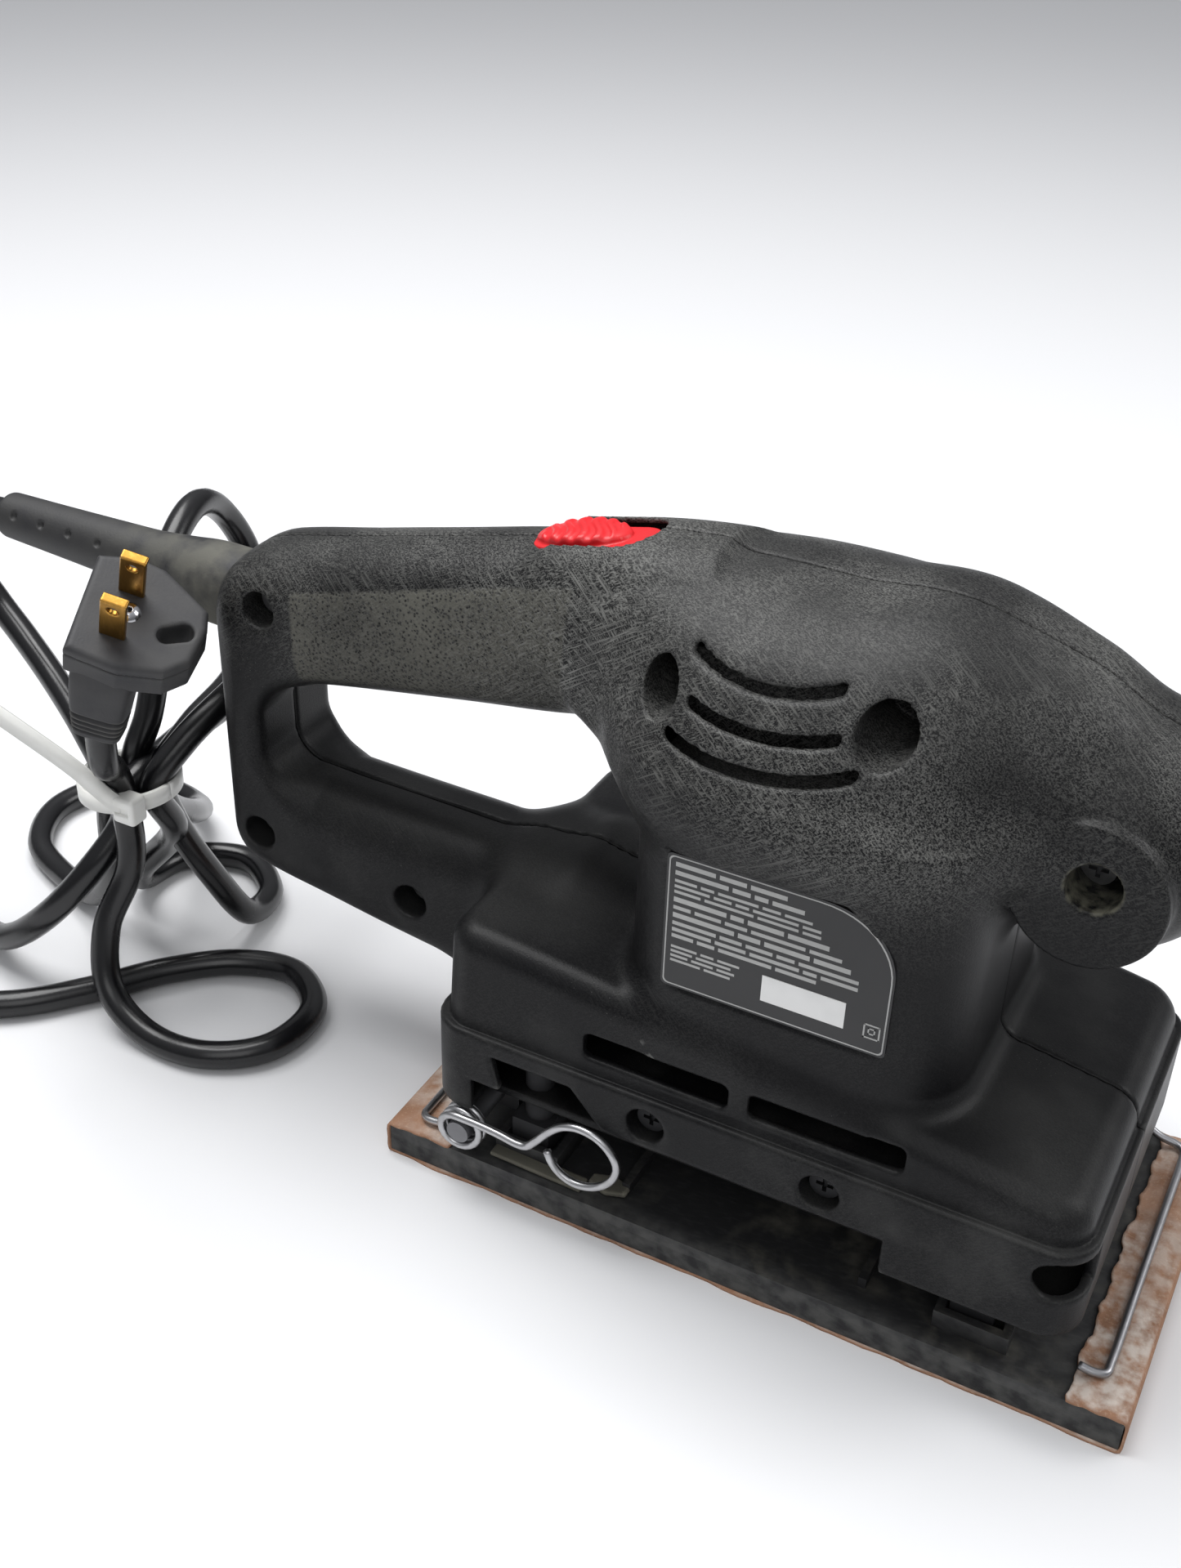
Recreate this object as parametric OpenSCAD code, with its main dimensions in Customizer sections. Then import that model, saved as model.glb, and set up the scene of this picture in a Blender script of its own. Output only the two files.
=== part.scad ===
// One third sheet orbital sander: D handle at the rear, round pommel at the front.
// X points to the front, Y to the left, Z up; the origin lies on the floor under the motor shaft.

/* [Platen and paper] */
// Length of the sanding platen, front to back
platen_len = 184; // [150:1:230]
// Width of the sanding platen
platen_w = 92; // [80:1:115]
// Thickness of the soft pad under the platen plate
pad_t = 5; // [3:0.5:8]
// Thickness of the abrasive sheet
paper_t = 0.8; // [0.4:0.1:1.2]
// Diameter of the wire of the paper clamps
wire_d = 2; // [1.6:0.1:2.4]

/* [Housing] */
// Height of the top of the motor housing above the floor
top_h = 164; // [158:1:197]
// Distance from the motor shaft back to the rear face of the handle
handle_reach = 164; // [150:1:197]
// Wall thickness of the moulded halves
wall = 3; // [2.4:0.1:3.6]
// Diameter of the round pommel at the front
pommel_d = 49; // [40:1:58]

/* [Motor and drive] */
// Diameter of the motor shaft
shaft_d = 8; // [6.6:0.1:9.6]
// Offset of the drive pin, half of the orbit
orbit_r = 1; // [0.8:0.1:1.2]
// Outside diameter of the motor lamination stack
stator_d = 54; // [45:1:60]
// Outside diameter of the cooling fan
fan_d = 62; // [52:1:64]
// Travel of the slide switch
switch_travel = 6.5; // [5:0.5:7]

/* [Cord] */
// Diameter of the power cord
cord_d = 7.6; // [6.4:0.1:9.2]
// Height of the tied hank of cord
hank_h = 96; // [80:1:104]

/* [Hidden] */
$fn = 48;
dz = top_h - 164;
dx = handle_reach - 164;
hx = platen_len / 2;
hy = platen_w / 2;
// levels of the platen sandwich
pad_z = paper_t;
plate_z = pad_z + pad_t;
plate_t = 3.2;
deck_z = plate_z + plate_t;
// skirt of the housing
skirt_x = hx - 13;
skirt_y = hy + 1;
skirt_z0 = 25;
lip_z = 49;
roof_rear = 75;
roof_front = 62;
// tower around the motor
tower_b = 42;
tower_r = 20;
tower_back = 35;
tower_front = 44;
tower_z1 = 117;
tower_b1 = min(tower_b, skirt_y - 3);
// pommel
pom_r = pommel_d / 2;
pom_x = 61;
pom_z = 124 + dz;
// ends of the handle
post_x = -153.5 - dx;
bfn = 20;
// rating plate on the flat side of the tower
label_w = 52;
label_h = 36;
label_z = 79;
// motor levels
stack_z = 78;
stack_h = 30;
low_brg_z = 56;
low_brg_h = 8;
low_brg_d = 26;
comm_z = 116;
comm_h = 15;
comm_r = 10;
up_brg_z = 137;
up_brg_h = 6;
up_brg_d = 19;
brush_z = 123.5;
fan_z = 40;
fan_h = 11;
cw_z = 27;
cw_h = 11;
pin_d = 8;
brg_z = 13;
brg_h = 8;
brg_d = 22;
hub_r = 15.5;
run = 0.03;
// housing screws: x, z, recess radius, depth of the seat from the parting plane
screws = [
    [-144 - dx, 125.5 + dz, 4.6, 7],
    [-149 - dx, 60 + dz / 4, 4.6, 7],
    [-103 - dx * 0.6, 54.5, 4.6, 7],
    [-26, 147.5 + dz, 6.2, 12],
    [22, 150 + dz, 7.2, 12],
    [59.5, 122 + dz, 6.4, 14],
    [skirt_x - 4.5, 41, 4.6, 22]
];
side_x = 21;
side_z = 41;
// legs
leg_x = hx - 36;
leg_y = hy - 14;
leg_s = 10;
leg_gap = 1.6;
leg_z0 = deck_z + 1.2;
leg_z1 = 46;
// clamps
piv_x = hx - 21.5;
piv_z = 18.6;
clamp_y = hy + 2;
coil_r = 4.3;
bar_x = hx - 6.5;
// slide switch
sw_x = -60.5;
sw_z = 158.6 + dz;
sw_tilt = -12.4;
win_l = 31;
win_w = 17;
// cord
cr = cord_d / 2;
boot_x0 = -164 - dx;
boot_len = 74;
boot_z = 120 + dz;
boot_rise = 3;
hank_x = -190 - dx;
hank_y = -18;
tie_z = hank_h * 0.6;
clamp_x = -136 - dx;
clamp_z = boot_z - 5.6;
clamp_s = 7.5;
tip_x = boot_x0 - boot_len;
tip_z = boot_z + boot_rise;

module ball(x, y, z, r) {
    translate([x, y, z]) sphere(r = r, $fn = bfn);
}
module pair(x, y, z, r) {
    for (s = [-1, 1]) ball(x, s * y, z, r);
}
// four upright posts, the corners of a rounded plan
module plan(x0, x1, y, r, z, h, g) {
    for (s = [-1, 1]) {
        translate([x0 + r, s * (y - r), z]) cylinder(r = r - g, h = h, $fn = 28);
        translate([x1 - r, s * (y - r), z]) cylinder(r = r - g, h = h, $fn = 28);
    }
}

// moulded form of the housing, shrunk inwards by g
module form(g) {
    low = g > 0 ? 6 : 0;
    // skirt below and above the lip
    hull() plan(-skirt_x, skirt_x, skirt_y, 10, skirt_z0 - low, lip_z - skirt_z0 + low, g);
    hull() {
        plan(-skirt_x + 1, skirt_x - 1, skirt_y - 1, 9, lip_z - 1, 1, g);
        pair(-skirt_x + 10, skirt_y - 10, roof_rear - 9, 9 - g);
        pair(skirt_x - 10, skirt_y - 10, roof_front - 9, 9 - g);
    }
    // flared root of the tower and the tower
    hull() {
        plan(-tower_back - 8, tower_front + 8, tower_b1 + 2, 21, 60, 5, g);
        plan(-tower_back, tower_front, tower_b1, tower_r, 79, 1, g);
    }
    hull() plan(-tower_back, tower_front, tower_b1, tower_r, 76, tower_z1 - 76 + dz, g);
    // shoulder with the vents and the rounded top
    hull() {
        plan(-tower_back - 1, tower_front - 1, tower_b1 - 1, 18, tower_z1 + dz, 1, g);
        pair(-24, 27, 139 + dz, 18.5 - g);
        pair(20, 27, 139 + dz, 18.5 - g);
        ball(-20, 0, 138.5 + dz, 25 - g);
        ball(14, 0, 138.8 + dz, 24.6 - g);
    }
    hull() {
        ball(14, 0, 142 + dz, 20 - g);
        pair(20, 18, 138 + dz, 15 - g);
        pair(pom_x - 4, 4, 132 + dz, 17 - g);
    }
    // pommel
    hull() pair(pom_x, 3.5, pom_z, pom_r - g);
    // grip
    hull() {
        pair(-26, 20, 138 + dz, 17 - g);
        ball(-44, 0, 142 + dz, 19 - g);
        ball(-30, 0, 142 + dz, 21 - g);
        ball(-46, 0, 136 + dz, 18 - g);
        ball(-76, 0, 139 + dz, 16.5 - g);
        ball(-76, 0, 130 + dz, 16.5 - g);
    }
    hull() {
        ball(-76, 0, 139 + dz, 16.5 - g);
        ball(-76, 0, 130 + dz, 16.5 - g);
        ball(-122 - dx, 0, 129 + dz, 16.5 - g);
        ball(-122 - dx, 0, 121 + dz, 16.5 - g);
    }
    hull() {
        ball(-122 - dx, 0, 129 + dz, 16.5 - g);
        ball(-122 - dx, 0, 121 + dz, 16.5 - g);
        pair(-148 - dx, 3.5, 126 + dz, 12.5 - g);
        pair(post_x, 5.5, 115 + dz, 10.5 - g);
    }
    // rear post, lower rail and gusset
    hull() {
        pair(post_x, 5.5, 118 + dz, 10.5 - g);
        pair(post_x, 5.5, 64, 10.5 - g);
    }
    hull() {
        pair(post_x + 2.5, 3.5, 60, 12.5 - g);
        pair(-100 - dx / 2, 3.5, 62, 12.5 - g);
        pair(-100 - dx / 2, 3.5, 54, 12.5 - g);
    }
    hull() {
        pair(-100 - dx / 2, 3.5, 62, 12.5 - g);
        pair(-100 - dx / 2, 3.5, 54, 12.5 - g);
        pair(-skirt_x + 12, 3.5, 62, 12.5 - g);
        pair(-skirt_x + 12, 3.5, 48, 12.5 - g);
    }
    hull() {
        pair(-skirt_x - 17, 9, 45, 5.5 - g);
        pair(-skirt_x - 8, 9, 34, 5.5 - g);
        pair(-skirt_x + 8, 9, 34, 5.5 - g);
    }
}

// ring shaped vent, seen from the side
module vent(z, a) {
    translate([0, 0, z]) rotate([90, 0, 0]) linear_extrude(130, center = true)
    intersection() {
        translate([0, 70]) difference() {
            circle(r = 72, $fn = 72);
            circle(r = 68, $fn = 72);
        }
        translate([-a, -3]) square([2 * a, 20]);
    }
}

// opening in the side wall of the skirt, for the side that carries the lever
module side_opening() {
    rotate([90, 0, 0]) linear_extrude(wall + 12)
    polygon([
        [-skirt_x + 12, skirt_z0 - 8], [-skirt_x + 12, skirt_z0], [-skirt_x + 19, 43.5],
        [-40, 43.5], [-31, 34.5], [36, 34.5], [36, skirt_z0 - 8]
    ]);
}

module boss(s, r, y0, y1) {
    translate([s[0], y1, s[1]]) rotate([90, 0, 0]) cylinder(r = r, h = y1 - y0, $fn = 20);
}

// solid fittings moulded inside both halves
module inner_fittings() {
    // shelf that holds the lower bearing
    difference() {
        translate([-44, -tower_b1 + 1, low_brg_z - 1]) cube([90, 2 * tower_b1 - 2, 11]);
        translate([0, 0, low_brg_z - 3]) cylinder(r = low_brg_d / 2 + 0.1, h = low_brg_h + 3, $fn = 48);
        translate([0, 0, 40]) cylinder(r = 9, h = 40, $fn = 32);
        for (a = [45:90:315]) rotate(a) translate([25, 0, 50]) cylinder(r = 8, h = 30, $fn = 20);
    }
    // saddle of the upper bearing
    difference() {
        translate([-16, -16, up_brg_z - 2]) cube([32, 32, 40 + dz]);
        translate([0, 0, up_brg_z - 3]) cylinder(r = up_brg_d / 2 + 2.1, h = up_brg_h + 3, $fn = 48);
    }
    // ribs that carry the motor stack
    for (s = [-1, 1], t = [-1, 1]) {
        translate([s * 8 - 2, t > 0 ? stator_d / 2 - 5 : -tower_b1 - 2, stack_z - 8])
            cube([4, tower_b1 - stator_d / 2 + 7, 8]);
    }
    // blocks behind the brush holders
    for (t = [0, 180]) rotate(t) translate([-7, -tower_b1 - 6, brush_z - 6])
        cube([14, tower_b1 + 6 - comm_r - 23.5, 12]);
    // floor of the switch pocket
    translate([sw_x, 0, sw_z]) rotate([0, sw_tilt, 0]) translate([-16, -20, -31]) cube([32, 40, 4]);
    // posts above the flexible legs
    for (s = [-1, 1], t = [-1, 1]) translate([s * leg_x, t * leg_y, leg_z1]) cylinder(r = 8, h = 40, $fn = 20);
    // cushion for the cord clamp
    translate([clamp_x - 3, -20, clamp_z - 14]) cube([14, 40, 13.95]);
}

module half_shell() {
    difference() {
        form(0);
        form(wall);
        // both sides share the vents and the slots
        for (k = [0:2]) vent(137.5 + 8 * k + dz, 17 + (k == 0 ? 3 : 0));
        for (x = [-38.4, 2.1]) translate([x, -60, 53]) cube([35.6, 120, 6.6]);
        // window of the slide switch
        translate([sw_x, 0, sw_z]) rotate([0, sw_tilt, 0]) hull()
            for (s = [-1, 1]) translate([s * (win_l - win_w) / 2, 0, -9]) cylinder(r = win_w / 2, h = 20, $fn = 28);
        // levers reach out of the skirt at the rear right and the front left
        translate([0, -skirt_y + wall + 6, 0]) side_opening();
        rotate(180) translate([0, -skirt_y + wall + 6, 0]) side_opening();
        // mouth for the cord guard
        translate([boot_x0 - 8, 0, boot_z]) rotate([0, 90, 0]) cylinder(r = 7.3, h = 16, $fn = 32);
    }
}

module housing_all(side) {
    difference() {
        union() {
            half_shell();
            intersection() {
                form(0.6);
                union() {
                    inner_fittings();
                    for (s = screws) {
                        if (side < 0) boss(s, s[2] + 2, -60, 0);
                        else boss(s, 4.4, 0, 60);
                    }
                    for (x = [-side_x, side_x], t = [-1, 1])
                        boss([x, side_z], 6.6, t > 0 ? skirt_y - 9 : -skirt_y, t > 0 ? skirt_y : -skirt_y + 9);
                }
            }
        }
        for (s = screws) {
            if (side < 0) boss(s, s[2], -70, -s[3]);
            boss(s, 2.1, -s[3] - 2, 14);
        }
        for (x = [-side_x, side_x]) {
            if (side < 0) boss([x, side_z], 4.6, -70, -skirt_y + 6);
            else boss([x, side_z], 4.6, skirt_y - 6, 70);
            boss([x, side_z], 2.1, -70, 70);
        }
        // pilot holes of the motor screws and of the leg studs
        for (s = [-1, 1]) translate([s * 22, 0, low_brg_z - 3]) cylinder(r = 1.75, h = 20, $fn = 20);
        for (s = [-1, 1], t = [-1, 1]) translate([s * leg_x, t * leg_y, leg_z1 - 1]) cylinder(r = 1.75, h = 10, $fn = 20);
        // seat for the rating plate
        if (side < 0) translate([-21.5, -tower_b1 - 2, label_z]) cube([label_w, 2.8, label_h]);
        // cord clamp screws
        for (t = [-1, 1]) translate([clamp_x + 4, t * clamp_s, clamp_z - 6.6]) cylinder(r = 1.5, h = 12, $fn = 16);
        translate([clamp_x - 5, 0, clamp_z]) rotate([0, 90, 0]) cylinder(r = cr + 0.1, h = 18, $fn = 32);
    }
}

module housing_right() {
    color("#2a2a2c") intersection() {
        housing_all(-1);
        translate([-300, -100, 0]) cube([500, 100, 260]);
    }
}

module housing_left() {
    color("#2a2a2c") intersection() {
        housing_all(1);
        translate([-300, 0, 0]) cube([500, 100, 260]);
    }
}

// pan head screw along +Y, head at its right end
module side_screw(len, head_r) {
    rotate([-90, 0, 0]) {
        difference() {
            cylinder(r = head_r, h = 2.4, $fn = 32);
            translate([-2, -0.5, -1]) cube([4, 1, 2.2]);
            translate([-0.5, -2, -1]) cube([1, 4, 2.2]);
        }
        translate([0, 0, 2.4]) cylinder(r = 1.9, h = len - 2.4, $fn = 24);
    }
}

module housing_screws() {
    color("silver") for (s = screws) translate([s[0], -s[3] - 2.4, s[1]]) side_screw(s[3] + 14, 3.6);
}

module baffle_screws() {
    color("silver") for (x = [-side_x, side_x], t = [-1, 1])
        rotate(t > 0 ? 180 : 0) translate([t * x, -skirt_y + 6 - 2.4, side_z]) side_screw(9.6, 3.6);
}

module rating_label() {
    color("#101012") difference() {
        translate([-21.5 + 0.4, -tower_b1, label_z + 0.4]) cube([label_w - 0.8, 0.8, label_h - 0.8]);
        translate([-21.5 + label_w, -tower_b1 - 1, label_z + label_h]) rotate([0, -45, 0])
            translate([-9, 0, -20]) cube([30, 3, 40]);
    }
}

module serial_sticker() {
    color("white") translate([0, -tower_b1 - 0.25, label_z + 4]) cube([19, 0.25, 8.5]);
}

// red slider: plate under the skin, oval thumb pad through the window
module switch_slider() {
    color("#c8141c") translate([sw_x, 0, sw_z]) rotate([0, sw_tilt, 0]) translate([-win_l / 2 + 0.7, 0, 0]) {
        translate([-4, -6.2, -8.6]) cube([31, 12.4, 2]);
        translate([4, -2, -10.6]) cube([6, 4, 2]);
        difference() {
            hull() for (x = [7, 16]) translate([x, 0, -6.6]) cylinder(r = 7, h = 9.4);
            for (k = [0:4]) translate([4.5 + 3.6 * k, 0, 3.4]) rotate([90, 0, 0]) cylinder(r = 1.1, h = 11, center = true, $fn = 24);
        }
    }
}

module switch_body() {
    color("#303030") translate([sw_x, 0, sw_z]) rotate([0, sw_tilt, 0]) difference() {
        translate([-15, -8, -27]) cube([30, 16, 18]);
        translate([-13, -2.6, -11.2]) cube([6.4 + switch_travel + 2, 5.2, 4]);
    }
}

// two insulated leads from the cord clamp to the switch
module switch_leads() {
    color("#202020") for (t = [-1, 1]) {
        hull() {
            translate([clamp_x + 13.2, t * 1.9, clamp_z]) sphere(r = 1.4, $fn = 16);
            translate([-104 - dx, t * 3.4, 122 + dz]) sphere(r = 1.4, $fn = 16);
        }
        hull() {
            translate([-104 - dx, t * 3.4, 122 + dz]) sphere(r = 1.4, $fn = 16);
            translate([-72.1, t * 4, 135.6 + dz]) sphere(r = 1.4, $fn = 16);
        }
    }
}

module strain_relief() {
    color("#1c1c1c") {
        translate([boot_x0 + 0.2, 0, boot_z]) rotate([0, 90, 0]) {
            cylinder(r = 7.2, h = 3.8);
            translate([0, 0, 3.8]) cylinder(r = 8.6, h = 3);
        }
        // guard outside the handle, tapering to the cord
        translate([boot_x0 + 0.2, 0, boot_z]) rotate([0, -90 + atan(boot_rise / boot_len), 0]) difference() {
            rotate_extrude() polygon([
                [0, 0], [9.5, 0], [10.6, 4], [10.6, 9], [9.4, 16], [7.6, 24], [6.8, 32],
                [6, boot_len - 3], [5.4, boot_len], [0, boot_len]
            ]);
            for (k = [0:3]) translate([0, 0, 40 + 8 * k]) rotate([90, 0, 0]) cylinder(r = 0.9, h = 20, center = true, $fn = 16);
        }
    }
}

module cord_inner_end() {
    // led under the boss of the rear handle screw
    color("#1c1c1c") tube([
        [boot_x0 + 7.3, 0, boot_z], [boot_x0 + 9.5, 0, boot_z - 0.2], [boot_x0 + 12.5, 0, boot_z - 2],
        [boot_x0 + 16, 0, boot_z - 4.3],
        [boot_x0 + 20, 0, clamp_z + 0.1], [clamp_x - 3, 0, clamp_z], [clamp_x + 4.5, 0, clamp_z],
        [clamp_x + 12, 0, clamp_z]
    ], cr, 18, 14);
}

module cord_clamp() {
    color("#3a3a3a") translate([clamp_x, 0, clamp_z]) difference() {
        translate([0, -10, 0]) cube([8, 20, cr + 1.8]);
        translate([-1, 0, 0]) rotate([0, 90, 0]) cylinder(r = cr, h = 10);
        for (t = [-1, 1]) translate([4, t * clamp_s, -1]) cylinder(r = 1.5, h = 14, $fn = 24);
    }
}

module cord_clamp_screws() {
    color("silver") for (t = [-1, 1]) translate([clamp_x + 4, t * clamp_s, clamp_z - 6.4]) {
        cylinder(r = 1.3, h = cr + 1.8 + 6.4, $fn = 24);
        translate([0, 0, cr + 1.8 + 6.4]) cylinder(r = 2.4, h = 1.6, $fn = 24);
    }
}

// tube swept along smooth points
function lerp(a, b, t) = a + (b - a) * t;
function spline(p, t) =
    let (n = len(p) - 1, k = min(floor(t * n), n - 1), u = t * n - k,
         a = p[max(k - 1, 0)], b = p[k], c = p[k + 1], d = p[min(k + 2, n)])
    0.5 * ((2 * b) + (c - a) * u + (2 * a - 5 * b + 4 * c - d) * u * u + (3 * b - a - 3 * c + d) * u * u * u);
function unit(v) = v / norm(v);
module tube(p, r, n, sides) {
    pts = [for (i = [0:n]) spline(p, i / n)];
    dirs = [for (i = [0:n]) unit(i == 0 ? pts[1] - pts[0] : i == n ? pts[n] - pts[n - 1] : pts[i + 1] - pts[i - 1])];
    ref = [0.1, 1, 0.05];
    rings = [for (i = [0:n]) let (u = unit(cross(dirs[i], ref)), v = cross(dirs[i], u))
        for (k = [0:sides - 1]) pts[i] + r * (cos(360 * k / sides) * u + sin(360 * k / sides) * v)];
    faces = concat(
        [[for (k = [0:sides - 1]) sides - 1 - k]],
        [for (i = [0:n - 1], k = [0:sides - 1])
            [i * sides + k, i * sides + (k + 1) % sides, (i + 1) * sides + (k + 1) % sides, (i + 1) * sides + k]],
        [[for (k = [0:sides - 1]) n * sides + k]]
    );
    polyhedron(points = rings, faces = faces, convexity = 4);
}

module power_cord() {
    color("#161616") tube([
        [tip_x + 0.3, 0, tip_z], [tip_x - 8, 0, tip_z], [tip_x - 18, 2, tip_z - 5],
        [tip_x - 24, 5, tip_z - 16], [tip_x - 22, 7, tip_z - 28], [tip_x - 12, 7.5, tip_z - 37.5],
        [tip_x, 4.5, tip_z - 43.5], [hank_x - 32, hank_y + 14, tie_z + 15], [hank_x - 16, hank_y + 5, tie_z + 7],
        [hank_x - 10.5, hank_y + 2, tie_z + 3]
    ], cr, 24, 10);
}

// the tied hank, its outer shape only
module cord_hank() {
    color("#161616") {
        // loops that lie on the floor
        linear_extrude(13) hull() {
            translate([hank_x - 34, hank_y - 18]) circle(r = 24);
            translate([hank_x + 24, hank_y - 4]) circle(r = 24);
            translate([hank_x - 6, hank_y + 20]) circle(r = 20);
        }
        // bundle drawn together by the tie
        hull() {
            translate([hank_x - 4, hank_y - 4, 1]) cylinder(r = 34, h = 8);
            translate([hank_x, hank_y, tie_z - 5]) cylinder(r = 13, h = 10);
        }
        // loops that lean back behind the cord guard
        hull() {
            translate([hank_x, hank_y + 1, tie_z + 5]) sphere(r = 12, $fn = 20);
            translate([hank_x - 9, hank_y + 46, hank_h + 12]) sphere(r = 16, $fn = 20);
            translate([hank_x - 7, hank_y + 64, hank_h - 6]) sphere(r = 10, $fn = 20);
        }
        // run that ends in the plug
        translate([hank_x + 4, hank_y - 8, tie_z]) cylinder(r = cr + 0.6, h = hank_h - tie_z);
    }
}

module plug_cord() {
    color("#161616") translate([hank_x + 4, hank_y - 8, hank_h]) cylinder(r = cr, h = 6);
}

plug_z = hank_h + 6;
module plug_body() {
    color("#222222") translate([hank_x + 4, hank_y - 8, plug_z]) {
        cylinder(r1 = 5, r2 = 6.5, h = 9);
        translate([0, 6, 8.8]) rotate([90, 0, 0]) linear_extrude(13)
            polygon([[-13, 0], [13, 0], [17, 14], [4, 26], [-15, 24], [-17, 12]]);
    }
}

module plug_blades() {
    color("#b8924a") translate([hank_x + 4, hank_y - 15, plug_z + 8.8]) {
        translate([-5, -17, 16]) cube([7, 17, 1.5]);
        translate([-4.5, -17, 3.3]) cube([6.4, 17, 1.5]);
    }
}

module cable_tie() {
    color("white") translate([hank_x, hank_y, tie_z]) difference() {
        union() {
            translate([0, 0, -5]) cylinder(r = 14.6, h = 4.6);
            translate([4, -18.5, -7]) cube([8, 7, 7.5]);
            translate([5.6, -18.2, 0]) cube([4.8, 1.2, 26]);
        }
        translate([0, 0, -8]) cylinder(r = 13.1, h = 12);
    }
}

module field_stack() {
    color("#8a8a8e") translate([0, 0, stack_z]) difference() {
        intersection() {
            cylinder(r = stator_d / 2, h = stack_h);
            translate([-30, -stator_d / 2 + 1, 0]) cube([60, stator_d - 2, stack_h]);
        }
        translate([0, 0, -1]) cylinder(r = 16.6, h = stack_h + 2);
        for (s = [-1, 1]) translate([-14, s > 0 ? 15 : -21, -1]) cube([28, 6, stack_h + 2]);
        for (s = [-1, 1]) translate([s * 22, 0, -1]) cylinder(r = 1.7, h = stack_h + 2, $fn = 24);
    }
}

module field_coils() {
    color("#a8662c") for (t = [-1, 1]) translate([0, t * 18, stack_z - 7]) {
        difference() {
            translate([-13.8, -3, 0]) cube([27.6, 6, stack_h + 14]);
            translate([-9, -4, 7 - 0.01]) cube([18, 8, stack_h + 0.02]);
        }
    }
}

module motor_screws() {
    color("silver") for (s = [-1, 1]) translate([s * 22, 0, stack_z - 20]) {
        cylinder(r = 1.6, h = stack_h + 20, $fn = 24);
        translate([0, 0, stack_h + 20]) cylinder(r = 3, h = 2.4, $fn = 24);
    }
}

module armature_core() {
    color("#77777c") translate([0, 0, stack_z]) difference() {
        cylinder(r = 16, h = stack_h);
        translate([0, 0, -1]) cylinder(r = shaft_d / 2, h = stack_h + 2);
        for (a = [0:30:330]) rotate(a) translate([14.6, 0, -1]) cylinder(r = 1, h = stack_h + 2, $fn = 16);
    }
}

module armature_windings() {
    color("#b0702c") for (z = [stack_z - 7, stack_z + stack_h]) translate([0, 0, z]) difference() {
        cylinder(r = 13, h = 7);
        translate([0, 0, -1]) cylinder(r = shaft_d / 2, h = 9);
    }
}

module armature_shaft() {
    color("#c8c8cc") {
        translate([0, 0, cw_z]) cylinder(r = shaft_d / 2, h = up_brg_z + up_brg_h - 0.6 - cw_z);
        translate([0, 0, low_brg_z + low_brg_h]) cylinder(r = shaft_d / 2 + 1.4, h = 3);
        translate([0, 0, up_brg_z - 3]) cylinder(r = shaft_d / 2 + 1.4, h = 2.9);
    }
}

module commutator() {
    color("#b8733a") translate([0, 0, comm_z]) difference() {
        union() {
            cylinder(r = comm_r, h = comm_h);
            cylinder(r = comm_r + 1.6, h = 1.4);
        }
        translate([0, 0, -1]) cylinder(r = shaft_d / 2, h = comm_h + 2);
        for (a = [0:30:330]) rotate(a) translate([comm_r - 0.6, -0.3, 2]) cube([2, 0.6, comm_h]);
    }
}

module brush_holders() {
    color("#c09040") for (t = [0, 180]) rotate(t) translate([0, -comm_r - 2, brush_z]) difference() {
        translate([-4.5, -21.5, -5]) cube([9, 21.5, 10]);
        translate([-3.06, -20, -4.06]) cube([6.12, 22, 8.12]);
    }
}

// carbon brushes bear on the commutator
module brush_at(t) {
    color("#303034") rotate(t) translate([-3, -comm_r - 12.1, brush_z - 4]) cube([6, 12, 8]);
}
module brush_right() { brush_at(0); }
module brush_left() { brush_at(180); }

module brush_spring_at(t) {
    color("#9a9aa0") rotate(t) translate([0, -comm_r - 12.1, brush_z]) rotate([90, 0, 0])
        difference() {
            union() {
                cylinder(r = 2, h = 6.2, $fn = 24);
                for (k = [0:3]) translate([0, 0, k * 1.8]) cylinder(r = 2.5, h = 0.9, $fn = 24);
            }
            translate([0, 0, -1]) cylinder(r = 1.4, h = 9, $fn = 24);
        }
}
module brush_spring_right() { brush_spring_at(0); }
module brush_spring_left() { brush_spring_at(180); }

module ring(z, h, ro, ri) {
    translate([0, 0, z]) difference() {
        cylinder(r = ro, h = h);
        translate([0, 0, -1]) cylinder(r = ri, h = h + 2);
    }
}

module upper_bearing() { color("#b9bcc0") ring(up_brg_z, up_brg_h, up_brg_d / 2, shaft_d / 2 + run); }
module lower_bearing() { color("#b9bcc0") ring(low_brg_z, low_brg_h, low_brg_d / 2, shaft_d / 2 + run); }
module bearing_sleeve() { color("#1a1a1a") ring(up_brg_z, up_brg_h, up_brg_d / 2 + 2, up_brg_d / 2); }

module cooling_fan() {
    color("#4a4a4e") translate([0, 0, fan_z]) {
        difference() {
            union() {
                cylinder(r = fan_d / 2, h = 1.8);
                cylinder(r = 9, h = fan_h);
            }
            translate([0, 0, -1]) cylinder(r = shaft_d / 2, h = fan_h + 2);
        }
        for (a = [0:30:330]) rotate(a) translate([12, -0.8, 1.7]) cube([fan_d / 2 - 13, 1.6, fan_h - 1.7]);
    }
}

// fixed baffle round the fan, carried by ears on the skirt walls
module fan_baffle() {
    color("#232325") difference() {
        union() {
            translate([0, 0, 34]) cylinder(r = fan_d / 2 + 4, h = low_brg_z - 35);
            for (x = [-side_x, side_x]) translate([x - 6, -skirt_y + 9, 34]) cube([12, 2 * skirt_y - 18, 14]);
        }
        translate([0, 0, 33]) cylinder(r = fan_d / 2 + 2, h = low_brg_z - 36.4);
        translate([0, 0, 33]) cylinder(r = 16, h = 30);
        for (x = [-side_x, side_x], t = [-1, 1])
            translate([x, t * (skirt_y - 8), side_z]) rotate([90, 0, 0]) cylinder(r = 1.9, h = 12, center = true, $fn = 24);
    }
}

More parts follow.
